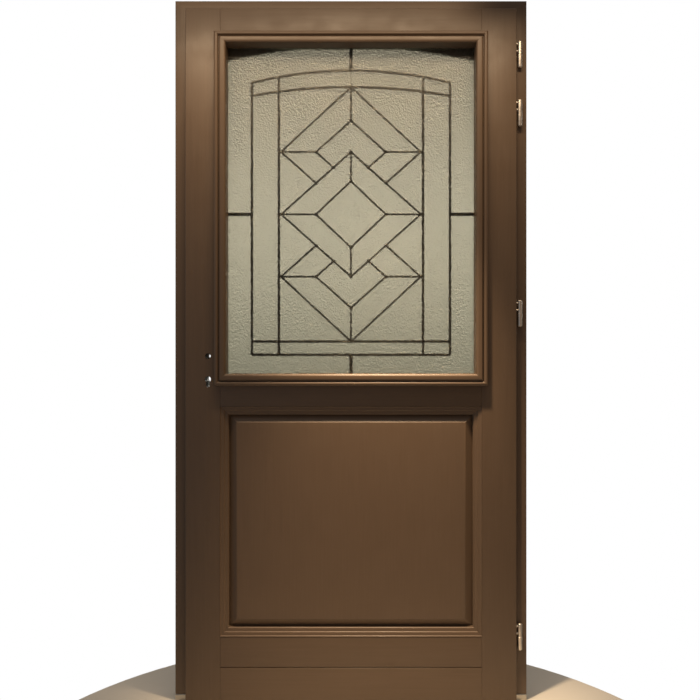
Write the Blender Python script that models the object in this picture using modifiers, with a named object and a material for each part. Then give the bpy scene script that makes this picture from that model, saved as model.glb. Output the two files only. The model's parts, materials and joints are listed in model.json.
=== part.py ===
"""A half glazed entrance door, hung in its frame.

Metres, +Z up. The origin is in the middle of the threshold's underside, halfway through the frame's depth.
The inside face looks towards -Y, and the leaf opens that way.
"""

import math

import bmesh
import bpy
from mathutils import Matrix, Vector

MM = 0.001

# Clearances between pieces
FIT = 0.3 * MM
HOLE_FIT = 0.4 * MM
REBATE_GAP = 4 * MM
LIP_GAP = 1 * MM
GLASS_GAP = 5 * MM

# Frame
FRAME_WIDTH = 1100 * MM
FRAME_HEIGHT = 2190 * MM
FRAME_DEPTH = 68 * MM
JAMB_SHOWING = 35 * MM
HEAD_SHOWING = 31 * MM
STOP_WIDTH = 26 * MM
GASKET_THICKNESS = 3 * MM
GASKET_WIDTH = 10 * MM
THRESHOLD_HEIGHT = 20 * MM
THRESHOLD_NOSE = 4 * MM
RIB_HEIGHT = 16 * MM
RIB_THICKNESS = 6 * MM

# Leaf
LIP_THICKNESS = 18 * MM
LIP_OVERLAP = 15 * MM
LIP_ROUNDING = 2.5 * MM
BODY_THICKNESS = 50 * MM
LIP_ABOVE_FLOOR = 5 * MM
BODY_ABOVE_THRESHOLD = 6 * MM
STILE_WIDTH = 108 * MM
TOP_RAIL_WIDTH = 93 * MM
LOCK_RAIL_WIDTH = 82 * MM
UPPER_BOTTOM_RAIL_WIDTH = 97 * MM
LOWER_BOTTOM_RAIL_WIDTH = 105 * MM
RAIL_JOINT_CHAMFER = 1.5 * MM
PANEL_OPENING_HEIGHT = 714 * MM

# Glazing mouldings: the section runs from the outer edge inwards
MOULDING_WIDTH = 37 * MM
MOULDING_LAP = 17 * MM
MOULDING_PROJECTION = 22 * MM
BEAD_WIDTH = 10 * MM
BEAD_RISE = 4 * MM
BEAD_BELOW_CREST = 2 * MM
BEAD_STEPS = 4
QUIRK_WIDTH = 2 * MM
QUIRK_BELOW_CREST = 8 * MM
OVOLO_WIDTH = 7 * MM
OVOLO_STEPS = 2
GROOVE_FROM_EDGE = 22 * MM
GROOVE_WIDTH = 2 * MM
GROOVE_DEPTH = 1.5 * MM
SIGHT_ROUNDING = 3 * MM
SIGHT_STEPS = 2

# Glass unit
PANE_THICKNESS = 4 * MM
PANE_SPACING = 16 * MM
GLASS_SET_BACK = 28 * MM
SPACER_WIDTH = 14 * MM
OUTER_BEAD_WIDTH = 20 * MM
OUTER_BEAD_CHAMFER = 6 * MM
ARCH_CROWN_DEPTH = 9 * MM
ARCH_RISE = 44 * MM
ARCH_STEPS = 24

# Leaded lattice: a border of double lines inside the glass opening, and leads between knots within it
LATTICE_SIDE_MARGIN = 95 * MM
LATTICE_FOOT_MARGIN = 79 * MM
LATTICE_TOP_MARGIN = 87 * MM
SIDE_BAND = 85 * MM
FOOT_BAND = 42 * MM
TOP_BAND = 52 * MM
INNER_ARC_RISE = 28 * MM
OUTER_ARC_RISE = 39 * MM
LATTICE_ARC_STEPS = 16
KNOT_INSET = 7 * MM
KNOT_PITCH_SHARE = 0.49
DIAMOND_SHARE = 0.26
BORDER_WIDTH = 8 * MM
LEAD_WIDTH = 6 * MM
STUB_WIDTH = 11 * MM
CORNER_INSET = 0.4 * MM
OUTER_LINE_THICKNESS = 6 * MM
INNER_LINE_THICKNESS = 4.8 * MM
FOOT_LINE_THICKNESS = 5.4 * MM
OUTER_ARC_THICKNESS = 6.3 * MM
INNER_ARC_THICKNESS = 5.7 * MM
STUB_THICKNESS = 7.2 * MM
SOLDER_RADIUS = 5.5 * MM
SOLDER_SIDES = 8

# Raised panel and its mouldings
PANEL_GAP = 3 * MM
PANEL_SET_BACK = 24 * MM
PANEL_THICKNESS = 17 * MM
PANEL_BEVEL = 25 * MM
PANEL_RAISE = 16 * MM
PANEL_MOULDING_WIDTH = 26 * MM
PANEL_MOULDING_PROJECTION = 1 * MM
PANEL_MOULDING_FALL = 14 * MM
PANEL_MOULDING_STEPS = 3
PANEL_COVE_WIDTH = 3 * MM
PANEL_FILLET_FALL = 1 * MM
OUTER_PANEL_MOULDING_WIDTH = 18 * MM

# Hinges: heights of their middles, two from the leaf's foot and two from its top
HINGES_FROM_FOOT = (198 * MM, 1206 * MM)
HINGES_FROM_TOP = (323 * MM, 140 * MM)
HINGE_HEIGHT = 84 * MM
HINGE_RADIUS = 7 * MM
HINGE_GAP = 5 * MM
KNUCKLE_SHARE = 42 * MM
KNUCKLE_CHAMFER = 1.5 * MM
COLLAR_HEIGHT = 13 * MM
COLLAR_STEP = 0.6 * MM
HINGE_PIN_RADIUS = 3.5 * MM
KNUCKLE_ROOF = 5 * MM
LEAF_PINS_BELOW_TOP = (9 * MM, 31.5 * MM)
FRAME_PINS_ABOVE_FOOT = (9 * MM, 23 * MM)
SCREW_PIN_RADIUS = 3.2 * MM
SCREW_PIN_DEPTH = 38 * MM
HINGE_SIDES = 20
PIN_SIDES = 12
HOLE_SIDES = 20

# Lock: places of its two holes, and the case that stands behind them
SPINDLE_ABOVE_LOCK_RAIL = 75 * MM
CYLINDER_BELOW_SPINDLE = 72 * MM
BACKSET = 55 * MM
CASE_HEIGHT = 165 * MM
CASE_REACH = 85 * MM
CASE_THICKNESS = 15 * MM
CASE_ABOVE_SPINDLE = 40 * MM
FACEPLATE_HEIGHT = 235 * MM
FACEPLATE_WIDTH = 20 * MM
FACEPLATE_THICKNESS = 3 * MM
FACEPLATE_ABOVE_SPINDLE = 75 * MM
LOCK_SET_BACK = 24 * MM
SPINDLE_HOLE_RADIUS = 9 * MM
FOLLOWER_RADIUS = 8 * MM
FOLLOWER_SQUARE = 8 * MM
CYLINDER_RADIUS = 8.5 * MM
CYLINDER_HOLE_HEIGHT = 33 * MM
CYLINDER_SLOT_WIDTH = 10 * MM
LATCH_HEIGHT = 26 * MM
LATCH_ABOVE_SPINDLE = 45 * MM
BOLT_HEIGHT = 34 * MM
BOLT_BELOW_SPINDLE = 72 * MM
BOLT_THICKNESS = 11 * MM
STRIKE_DEPTH = 22 * MM
STRIKE_MARGIN = 3 * MM

# Places that follow
FRAME_FACE = -FRAME_DEPTH / 2
FRAME_BACK = FRAME_DEPTH / 2
LIP_BACK = FRAME_FACE - LIP_GAP
LEAF_FRONT = LIP_BACK - LIP_THICKNESS
LEAF_BACK = LIP_BACK + BODY_THICKNESS
SHOULDER = LEAF_BACK + GASKET_THICKNESS
FRAME_HALF = FRAME_WIDTH / 2
LIP_HALF = FRAME_HALF - JAMB_SHOWING
BODY_HALF = LIP_HALF - LIP_OVERLAP
REBATE_HALF = BODY_HALF + REBATE_GAP
STOP_HALF = REBATE_HALF - STOP_WIDTH
LIP_TOP = FRAME_HEIGHT - HEAD_SHOWING
BODY_TOP = LIP_TOP - LIP_OVERLAP
REBATE_TOP = BODY_TOP + REBATE_GAP
LIP_FOOT = LIP_ABOVE_FLOOR
BODY_FOOT = THRESHOLD_HEIGHT + BODY_ABOVE_THRESHOLD
OPENING_HALF = LIP_HALF - STILE_WIDTH
RAIL_JOINT = LIP_FOOT + LOWER_BOTTOM_RAIL_WIDTH
PANEL_OPENING_FOOT = RAIL_JOINT + UPPER_BOTTOM_RAIL_WIDTH
PANEL_OPENING_TOP = PANEL_OPENING_FOOT + PANEL_OPENING_HEIGHT
GLASS_OPENING_FOOT = PANEL_OPENING_TOP + LOCK_RAIL_WIDTH
GLASS_OPENING_TOP = LIP_TOP - TOP_RAIL_WIDTH
GLASS_FRONT = LEAF_FRONT + GLASS_SET_BACK
GLASS_BACK = GLASS_FRONT + 2 * PANE_THICKNESS + PANE_SPACING
GLASS_HALF = OPENING_HALF - GLASS_GAP
GLASS_FOOT = GLASS_OPENING_FOOT + GLASS_GAP
GLASS_TOP = GLASS_OPENING_TOP - GLASS_GAP
LATTICE_FOOT = GLASS_OPENING_FOOT + LATTICE_FOOT_MARGIN + FOOT_BAND
LATTICE_CROWN = GLASS_OPENING_TOP - LATTICE_TOP_MARGIN - TOP_BAND
LATTICE_MIDDLE = (LATTICE_FOOT + LATTICE_CROWN) / 2
APEX_HEIGHT = (LATTICE_CROWN - LATTICE_FOOT) / 2
OUTER_LINE = OPENING_HALF - LATTICE_SIDE_MARGIN
INNER_LINE = OUTER_LINE - SIDE_BAND
KNOT_REACH = INNER_LINE - KNOT_INSET
PANEL_FRONT = LEAF_FRONT + PANEL_SET_BACK
PANEL_BACK = PANEL_FRONT + PANEL_THICKNESS
HINGE_X = LIP_HALF + HINGE_GAP + HINGE_RADIUS
HINGE_Y = (LEAF_FRONT + LIP_BACK) / 2
SPINDLE_X = -BODY_HALF + BACKSET
SPINDLE_HEIGHT = GLASS_OPENING_FOOT + SPINDLE_ABOVE_LOCK_RAIL
CYLINDER_HEIGHT = SPINDLE_HEIGHT - CYLINDER_BELOW_SPINDLE
LOCK_Y = LIP_BACK + LOCK_SET_BACK

# Base colour, roughness, metallic value and alpha of each finish
FINISHES = {
    "paint": ((0.088, 0.054, 0.033), 0.42, 0.0, 1.0),
    "chrome": ((0.62, 0.58, 0.52), 0.22, 1.0, 1.0),
    "steel": ((0.50, 0.49, 0.47), 0.35, 1.0, 1.0),
    "aluminium": ((0.55, 0.53, 0.50), 0.40, 1.0, 1.0),
    "rubber": ((0.012, 0.012, 0.012), 0.75, 0.0, 1.0),
    "lead": ((0.07, 0.065, 0.055), 0.55, 0.3, 1.0),
    "glass": ((0.62, 0.60, 0.50), 0.10, 0.0, 0.35),
}

UPRIGHT = Matrix.Identity(3)
ACROSS = Matrix(((0, 0, 1), (1, 0, 0), (0, 1, 0)))
FACING = Matrix(((1, 0, 0), (0, 0, -1), (0, 1, 0)))


def clear_scene():
    for item in list(bpy.data.objects):
        bpy.data.objects.remove(item, do_unlink=True)
    for item in list(bpy.data.collections):
        bpy.data.collections.remove(item)


def new_collection(name):
    collection = bpy.data.collections.new(name)
    bpy.context.scene.collection.children.link(collection)
    return collection


def new_material(name, finish):
    colour, roughness, metallic, alpha = FINISHES[finish]
    material = bpy.data.materials.new(name + "_" + finish)
    material.use_nodes = True
    shader = material.node_tree.nodes["Principled BSDF"]
    shader.inputs["Base Color"].default_value = (*colour, 1.0)
    shader.inputs["Roughness"].default_value = roughness
    shader.inputs["Metallic"].default_value = metallic
    shader.inputs["Alpha"].default_value = alpha
    return material


def place(name, mesh, finish, matrix=None):
    """A new object in the door's collection, or a cutter where no finish is given."""
    item = bpy.data.objects.new(name, mesh)
    if matrix is not None:
        item.matrix_world = matrix
    if finish is None:
        item.hide_render = True
        item.display_type = "WIRE"
        CUTTERS.objects.link(item)
    else:
        mesh.materials.append(new_material(name, finish))
        DOOR.objects.link(item)
    return item


def box(name, low, high, finish=None):
    low, high = Vector(low), Vector(high)
    shape = bmesh.new()
    bmesh.ops.create_cube(shape, size=1.0)
    bmesh.ops.scale(shape, vec=high - low, verts=shape.verts)
    mesh = bpy.data.meshes.new(name)
    shape.to_mesh(mesh)
    shape.free()
    return place(name, mesh, finish, Matrix.Translation((low + high) / 2))


def rod(name, start, end, radius, finish=None, sides=PIN_SIDES):
    start, end = Vector(start), Vector(end)
    shape = bmesh.new()
    bmesh.ops.create_cone(
        shape,
        cap_ends=True,
        segments=sides,
        radius1=radius,
        radius2=radius,
        depth=(end - start).length,
    )
    mesh = bpy.data.meshes.new(name)
    shape.to_mesh(mesh)
    shape.free()
    turn = (end - start).to_track_quat("Z", "Y").to_matrix().to_4x4()
    return place(name, mesh, finish, Matrix.Translation((start + end) / 2) @ turn)


def extruded(name, outlines, length, turn, centre, finish=None):
    """Flat outlines filled and drawn out by length, half to each side of centre; the first is the outer one."""
    curve = bpy.data.curves.new(name, "CURVE")
    curve.dimensions = "2D"
    curve.fill_mode = "BOTH"
    curve.extrude = length / 2
    for outline in outlines:
        spline = curve.splines.new("POLY")
        spline.points.add(len(outline) - 1)
        for point, (across, up) in zip(spline.points, outline):
            point.co = (across, up, 0.0, 1.0)
        spline.use_cyclic_u = True
    guide = bpy.data.objects.new(name + "_outline", curve)
    CUTTERS.objects.link(guide)
    bpy.context.view_layer.update()
    graph = bpy.context.evaluated_depsgraph_get()
    mesh = bpy.data.meshes.new_from_object(guide.evaluated_get(graph))
    mesh.name = name
    bpy.data.objects.remove(guide)
    shape = bmesh.new()
    shape.from_mesh(mesh)
    bmesh.ops.remove_doubles(shape, verts=shape.verts, dist=0.001 * MM)
    bmesh.ops.recalc_face_normals(shape, faces=shape.faces)
    shape.to_mesh(mesh)
    shape.free()
    mesh.materials.clear()
    return place(name, mesh, finish, Matrix.Translation(centre) @ turn.to_4x4())


def mitred_bar(name, section, length, inward, centre, slopes, finish):
    """A bar whose section is given as (distance in from its outer edge, y).

    Each end is drawn back by that distance times its slope, so 1 cuts it at 45 degrees and None leaves
    it square.
    """
    inward = Vector(inward)
    depth = Vector((0, 1, 0))
    turn = Matrix((inward, depth, inward.cross(depth))).transposed()
    bar = extruded(name, [section], length, turn, centre, finish)
    for point in bar.data.vertices:
        end = 1 if point.co.z > 0 else 0
        if slopes[end] is not None:
            drawn_back = FIT + slopes[end] * point.co.x
            point.co.z += -drawn_back if end else drawn_back
    return bar


def boolean(target, other, operation):
    modifier = target.modifiers.new(operation.lower(), "BOOLEAN")
    modifier.operation = operation
    modifier.object = other


def cut(target, *cutters):
    for cutter in cutters:
        boolean(target, cutter, "DIFFERENCE")


def join(target, *others):
    for other in others:
        boolean(target, other, "UNION")


def smooth(item):
    item.data.shade_smooth()
    item.data.set_sharp_from_angle(angle=math.radians(35))


def hang(pivot, items):
    """The items keep their places and turn with the pivot."""
    for item in items:
        item.parent = pivot
        item.matrix_parent_inverse = pivot.matrix_world.inverted()


def arc(half, crown, rise, steps):
    """Points of a shallow arc from -half to half: its crown at the given height, its ends lower by rise."""
    radius = (half**2 + rise**2) / (2 * rise)
    reach = math.asin(half / radius)
    angles = [reach * (2 * step / steps - 1) for step in range(steps + 1)]
    return [(radius * math.sin(a), crown - radius * (1 - math.cos(a))) for a in angles]


def frame_section(showing):
    """Section of a jamb or the head: face, rebate, shoulder and stop."""
    rebate = showing + LIP_OVERLAP - REBATE_GAP
    stop = rebate * (FRAME_HALF - STOP_HALF) / (FRAME_HALF - REBATE_HALF)
    return [
        (0, FRAME_FACE),
        (rebate, FRAME_FACE),
        (rebate, SHOULDER),
        (stop, SHOULDER),
        (stop, FRAME_BACK),
        (0, FRAME_BACK),
    ]


def make_frame():
    """Jambs, head, threshold and gasket; the head's section is a jamb's, narrowed so that the mitre is flat."""
    jamb = frame_section(JAMB_SHOWING)
    head = frame_section(HEAD_SHOWING)
    slope = head[1][0] / jamb[1][0]
    foot = THRESHOLD_HEIGHT + FIT
    middle = (foot + FRAME_HEIGHT) / 2
    height = FRAME_HEIGHT - foot
    lock_jamb = mitred_bar(
        "jamb_lock_side", jamb, height, (1, 0, 0), (-FRAME_HALF, 0, middle), (None, slope), "paint"
    )
    hinge_jamb = mitred_bar(
        "jamb_hinge_side", jamb, height, (-1, 0, 0), (FRAME_HALF, 0, middle), (slope, None), "paint"
    )
    mitred_bar(
        "frame_head", head, FRAME_WIDTH, (0, 0, -1), (0, 0, FRAME_HEIGHT), (1 / slope, 1 / slope), "paint"
    )
    make_threshold()
    make_gasket(REBATE_TOP - (head[3][0] - head[1][0]))
    return lock_jamb, hinge_jamb


def make_threshold():
    outline = [
        (FRAME_FACE, 0),
        (FRAME_BACK, 0),
        (FRAME_BACK, THRESHOLD_HEIGHT),
        (FRAME_FACE + THRESHOLD_NOSE, THRESHOLD_HEIGHT),
        (FRAME_FACE, THRESHOLD_HEIGHT - THRESHOLD_NOSE),
    ]
    threshold = extruded("threshold", [outline], FRAME_WIDTH, ACROSS, (0, 0, 0), "aluminium")
    rib = box(
        "threshold_rib",
        (FIT - STOP_HALF, SHOULDER, THRESHOLD_HEIGHT / 2),
        (STOP_HALF - FIT, SHOULDER + RIB_THICKNESS, THRESHOLD_HEIGHT + RIB_HEIGHT),
    )
    join(threshold, rib)


def make_gasket(stop_foot):
    """One strip up both jambs and across the head, on the shoulder that the leaf closes against."""
    outer = (STOP_HALF + REBATE_HALF + GASKET_WIDTH) / 2
    inner = outer - GASKET_WIDTH
    top = (stop_foot + REBATE_TOP + GASKET_WIDTH) / 2
    under = top - GASKET_WIDTH
    foot = THRESHOLD_HEIGHT + FIT
    outline = [
        (-outer, foot),
        (-inner, foot),
        (-inner, under),
        (inner, under),
        (inner, foot),
        (outer, foot),
        (outer, top),
        (-outer, top),
    ]
    centre = (0, (LEAF_BACK + SHOULDER) / 2, 0)
    extruded("frame_gasket", [outline], GASKET_THICKNESS - 2 * FIT, FACING, centre, "rubber")


def make_stile(name, side):
    """A stile with its lip; side is -1 for the lock's and 1 for the hinges'."""
    section = [
        (LIP_HALF, LIP_BACK),
        (LIP_HALF, LEAF_FRONT + LIP_ROUNDING),
        (LIP_HALF - LIP_ROUNDING, LEAF_FRONT),
        (OPENING_HALF, LEAF_FRONT),
        (OPENING_HALF, LEAF_BACK),
        (BODY_HALF, LEAF_BACK),
        (BODY_HALF, LIP_BACK),
    ]
    outline = [(side * x, y) for x, y in section]
    height = LIP_TOP - LIP_FOOT
    stile = extruded(name, [outline], height, UPRIGHT, (0, 0, (LIP_TOP + LIP_FOOT) / 2), "paint")
    width = FRAME_WIDTH / 2
    depth = 2 * BODY_THICKNESS
    top = box(name + "_top_rebate", (-width, LIP_BACK, BODY_TOP), (width, depth, FRAME_HEIGHT))
    foot = box(name + "_foot_rebate", (-width, LIP_BACK, -BODY_FOOT), (width, depth, BODY_FOOT))
    cut(stile, top, foot)
    return stile


def make_rail(name, outline):
    length = 2 * (OPENING_HALF - FIT)
    return extruded(name, [outline], length, ACROSS, (0, 0, 0), "paint")


def make_rails():
    top = [
        (LEAF_FRONT, GLASS_OPENING_TOP),
        (LEAF_BACK, GLASS_OPENING_TOP),
        (LEAF_BACK, BODY_TOP),
        (LIP_BACK, BODY_TOP),
        (LIP_BACK, LIP_TOP),
        (LEAF_FRONT + LIP_ROUNDING, LIP_TOP),
        (LEAF_FRONT, LIP_TOP - LIP_ROUNDING),
    ]
    lock = [
        (LEAF_FRONT, PANEL_OPENING_TOP),
        (LEAF_BACK, PANEL_OPENING_TOP),
        (LEAF_BACK, GLASS_OPENING_FOOT),
        (LEAF_FRONT, GLASS_OPENING_FOOT),
    ]
    upper = [
        (LEAF_FRONT + RAIL_JOINT_CHAMFER, RAIL_JOINT + FIT),
        (LEAF_BACK, RAIL_JOINT + FIT),
        (LEAF_BACK, PANEL_OPENING_FOOT),
        (LEAF_FRONT, PANEL_OPENING_FOOT),
        (LEAF_FRONT, RAIL_JOINT + FIT + RAIL_JOINT_CHAMFER),
    ]
    lower = [
        (LEAF_FRONT, LIP_FOOT),
        (LIP_BACK, LIP_FOOT),
        (LIP_BACK, BODY_FOOT),
        (LEAF_BACK, BODY_FOOT),
        (LEAF_BACK, RAIL_JOINT),
        (LEAF_FRONT + RAIL_JOINT_CHAMFER, RAIL_JOINT),
        (LEAF_FRONT, RAIL_JOINT - RAIL_JOINT_CHAMFER),
    ]
    return [
        make_rail("top_rail", top),
        make_rail("lock_rail", lock),
        make_rail("upper_bottom_rail", upper),
        make_rail("lower_bottom_rail", lower),
    ]


def ring_of_bars(prefix, section, half, foot, top, sides=("top", "bottom", "lock_side", "hinge_side")):
    """Mitred bars round an opening; without a top bar, the upright ones end square."""
    upper = 1 if "top" in sides else None
    middle = (foot + top) / 2
    height = top - foot
    places = {
        "top": (2 * half, (0, 0, -1), (0, 0, top), (1, 1)),
        "bottom": (2 * half, (0, 0, 1), (0, 0, foot), (1, 1)),
        "lock_side": (height, (1, 0, 0), (-half, 0, middle), (1, upper)),
        "hinge_side": (height, (-1, 0, 0), (half, 0, middle), (upper, 1)),
    }
    return [
        mitred_bar(prefix + "_" + side, section, *places[side], finish="paint") for side in sides
    ]


def quarter(start, end, steep_first, steps):
    """Points along a quarter of an ellipse, after its start: steep at the start or else at the end."""
    points = []
    for step in range(1, steps + 1):
        angle = math.pi / 2 * step / steps
        slow, fast = 1 - math.cos(angle), math.sin(angle)
        across, along = (slow, fast) if steep_first else (fast, slow)
        points.append(
            (start[0] + (end[0] - start[0]) * across, start[1] + (end[1] - start[1]) * along)
        )
    return points


def glazing_section():
    """Outer bead, quirk, ovolo and grooved flat over the leaf's face, square down to the glass."""
    face = LEAF_FRONT - FIT
    crest = LEAF_FRONT - MOULDING_PROJECTION
    quirk = crest + QUIRK_BELOW_CREST
    tongue = MOULDING_LAP + FIT
    bead = [
        (BEAD_WIDTH / 2 + across, crest + BEAD_BELOW_CREST - fall)
        for across, fall in arc(BEAD_WIDTH / 2, 0, BEAD_RISE, BEAD_STEPS)
    ]
    ovolo_start = (BEAD_WIDTH + QUIRK_WIDTH, quirk)
    ovolo_end = (ovolo_start[0] + OVOLO_WIDTH, crest)
    sight_start = (MOULDING_WIDTH - SIGHT_ROUNDING, crest)
    sight_end = (MOULDING_WIDTH, crest + SIGHT_ROUNDING)
    return [
        (0, face),
        *bead,
        (BEAD_WIDTH, quirk),
        ovolo_start,
        *quarter(ovolo_start, ovolo_end, True, OVOLO_STEPS),
        (GROOVE_FROM_EDGE, crest),
        (GROOVE_FROM_EDGE + GROOVE_WIDTH / 2, crest + GROOVE_DEPTH),
        (GROOVE_FROM_EDGE + GROOVE_WIDTH, crest),
        sight_start,
        *quarter(sight_start, sight_end, False, SIGHT_STEPS),
        (MOULDING_WIDTH, GLASS_FRONT - FIT),
        (tongue, GLASS_FRONT - FIT),
        (tongue, face),
    ]


def outer_bead_section(width, front):
    """A square bead with its outside corner taken off."""
    back = LEAF_BACK
    return [
        (FIT, front),
        (width, front),
        (width, back - OUTER_BEAD_CHAMFER),
        (width - OUTER_BEAD_CHAMFER, back),
        (FIT, back),
    ]


def make_glazing():
    """Mouldings, panes, spacer, lattice, beads and the arched head piece of the upper opening."""
    outer = MOULDING_LAP
    pieces = ring_of_bars(
        "glazing_moulding",
        glazing_section(),
        OPENING_HALF + outer,
        GLASS_OPENING_FOOT - outer,
        GLASS_OPENING_TOP + outer,
    )
    corner = GLASS_OPENING_TOP - ARCH_CROWN_DEPTH - ARCH_RISE
    pieces += ring_of_bars(
        "outer_bead",
        outer_bead_section(OUTER_BEAD_WIDTH, GLASS_BACK + FIT),
        OPENING_HALF,
        GLASS_OPENING_FOOT,
        corner - FIT,
        sides=("bottom", "lock_side", "hinge_side"),
    )
    pieces.append(make_arched_head(corner))
    for name, front in (("ornament_pane", GLASS_FRONT), ("rear_pane", GLASS_BACK - PANE_THICKNESS)):
        low = (-GLASS_HALF, front, GLASS_FOOT)
        high = (GLASS_HALF, front + PANE_THICKNESS, GLASS_TOP)
        pieces.append(box(name, low, high, "glass"))
    pieces.append(make_spacer())
    pieces.append(make_lattice())
    return pieces


def make_arched_head(corner):
    """The outside head bead: straight on top, cut to a shallow arch below."""
    side = OPENING_HALF - FIT
    sight = OPENING_HALF - OUTER_BEAD_WIDTH
    crown = GLASS_OPENING_TOP - ARCH_CROWN_DEPTH
    top = GLASS_OPENING_TOP - FIT
    outline = [(-side, top), (-side, corner)]
    outline += arc(sight, crown, ARCH_RISE, ARCH_STEPS)
    outline += [(side, corner), (side, top)]
    front = GLASS_BACK + FIT
    centre = (0, (front + LEAF_BACK) / 2, 0)
    return extruded("arched_head_piece", [outline], LEAF_BACK - front, FACING, centre, "paint")


def rectangle(half, foot, top):
    return [(-half, foot), (half, foot), (half, top), (-half, top)]


def make_spacer():
    outer = rectangle(GLASS_HALF, GLASS_FOOT, GLASS_TOP)
    inner = rectangle(GLASS_HALF - SPACER_WIDTH, GLASS_FOOT + SPACER_WIDTH, GLASS_TOP - SPACER_WIDTH)
    centre = (0, (GLASS_FRONT + GLASS_BACK) / 2, 0)
    return extruded(
        "glass_spacer", [outer, inner], PANE_SPACING - 2 * FIT, FACING, centre, "aluminium"
    )


def came(outline, thickness):
    """A flat piece of the lattice, its outline given as (x, z) from the lattice's centre."""
    centre = (0, (GLASS_FRONT + GLASS_BACK) / 2, LATTICE_MIDDLE)
    return extruded("came", [outline], thickness, FACING, centre)


def lead(start, end, width, thickness):
    """A straight came of the given width between two points."""
    start, end = Vector(start), Vector(end)
    aside = (end - start).normalized().orthogonal() * width / 2
    return came([start - aside, end - aside, end + aside, start + aside], thickness)


def solder(centre, thickness):
    angles = [math.tau * (step + 0.5) / SOLDER_SIDES for step in range(SOLDER_SIDES)]
    across, up = centre
    outline = [
        (across + SOLDER_RADIUS * math.cos(a), up + SOLDER_RADIUS * math.sin(a)) for a in angles
    ]
    return came(outline, thickness)


def quarter_leads():
    """The leads of the upper right quarter, as pairs of (x, z)."""
    reach = KNOT_REACH
    pitch = KNOT_PITCH_SHARE * APEX_HEIGHT
    diamond = DIAMOND_SHARE * APEX_HEIGHT
    return [
        ((0, APEX_HEIGHT), (reach, pitch)),
        ((0, 1.5 * pitch), (reach / 2, pitch)),
        ((reach, pitch), (reach / 2, pitch)),
        ((reach / 2, pitch), (reach / 4, 0.75 * pitch)),
        ((reach, pitch), (reach / 2, pitch / 2)),
        ((reach, 0), (0, pitch)),
        ((reach, 0), (reach / 2, 0)),
        ((reach / 2, 0), (0, diamond)),
        ((0, 1.5 * pitch), (0, APEX_HEIGHT)),
        ((0, pitch), (0, diamond)),
    ]


def mirrored(pairs):
    """The pairs in all four quarters, with those that lie on an axis only once."""
    found = set()
    for across in (1, -1):
        for up in (1, -1):
            for ends in pairs:
                found.add(tuple(sorted((across * x + 0.0, up * z + 0.0) for x, z in ends)))
    return sorted(found)


def arc_lead(crown, rise, width, thickness):
    upper = arc(OUTER_LINE, crown + width / 2, rise, LATTICE_ARC_STEPS)
    lower = arc(OUTER_LINE, crown - width / 2, rise, LATTICE_ARC_STEPS)
    return came(upper + lower[::-1], thickness)


def make_lattice():
    """Border lines, two arcs, stubs out to the spacer, leads between knots and a drop of solder on each."""
    side_end = GLASS_HALF - SPACER_WIDTH - FIT
    top_end = GLASS_TOP - SPACER_WIDTH - FIT - LATTICE_MIDDLE
    foot_end = GLASS_FOOT + SPACER_WIDTH + FIT - LATTICE_MIDDLE
    inner_foot = LATTICE_FOOT - LATTICE_MIDDLE
    foot = inner_foot - FOOT_BAND
    crown = LATTICE_CROWN + TOP_BAND - LATTICE_MIDDLE
    lap = BORDER_WIDTH / 2 - CORNER_INSET
    outer_end = crown - OUTER_ARC_RISE + lap
    inner_end = crown - OUTER_ARC_RISE / 2
    cames = []
    for side in (-1, 1):
        outer, inner, edge = side * OUTER_LINE, side * INNER_LINE, side * side_end
        cames.append(lead((outer, foot - lap), (outer, outer_end), BORDER_WIDTH, OUTER_LINE_THICKNESS))
        cames.append(lead((inner, foot), (inner, inner_end), BORDER_WIDTH, INNER_LINE_THICKNESS))
        cames.append(lead((outer, 0), (edge, 0), STUB_WIDTH, STUB_THICKNESS))
    for height in (foot, inner_foot):
        ends = (-OUTER_LINE, height), (OUTER_LINE, height)
        cames.append(lead(*ends, BORDER_WIDTH, FOOT_LINE_THICKNESS))
    cames.append(lead((0, foot), (0, foot_end), STUB_WIDTH, STUB_THICKNESS))
    cames.append(lead((0, crown), (0, top_end), STUB_WIDTH, STUB_THICKNESS))
    cames.append(lead((0, APEX_HEIGHT), (0, crown), LEAD_WIDTH / 2, INNER_LINE_THICKNESS))
    cames.append(arc_lead(crown, OUTER_ARC_RISE, BORDER_WIDTH, OUTER_ARC_THICKNESS))
    cames.append(arc_lead(APEX_HEIGHT, INNER_ARC_RISE, BORDER_WIDTH, INNER_ARC_THICKNESS))
    straight = mirrored(quarter_leads())
    cames += [lead(start, end, LEAD_WIDTH, INNER_LINE_THICKNESS) for start, end in straight]
    knots = {point for ends in straight for point in ends}
    cames += [solder(knot, STUB_THICKNESS) for knot in sorted(knots)]
    lattice_cames = bpy.data.collections.new("cames")
    CUTTERS.children.link(lattice_cames)
    for piece in cames[1:]:
        CUTTERS.objects.unlink(piece)
        lattice_cames.objects.link(piece)
    lattice = place("leaded_lattice", cames[0].data, "lead", cames[0].matrix_world.copy())
    bpy.data.objects.remove(cames[0])
    modifier = lattice.modifiers.new("cames", "BOOLEAN")
    modifier.operation = "UNION"
    modifier.operand_type = "COLLECTION"
    modifier.collection = lattice_cames
    return lattice


def panel_moulding_steps(width, crest):
    """Steep coves from the outer edge inwards, with a slightly falling fillet between each and the next."""
    pitch = (width - PANEL_COVE_WIDTH) / (PANEL_MOULDING_STEPS - 1)
    step_fall = PANEL_MOULDING_FALL / PANEL_MOULDING_STEPS
    points = []
    for step in range(PANEL_MOULDING_STEPS):
        across, depth = step * pitch, crest + step * step_fall
        cove_end = depth + step_fall - PANEL_FILLET_FALL
        points += [(max(across, FIT), depth), (across + PANEL_COVE_WIDTH, cove_end)]
    return points


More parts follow.
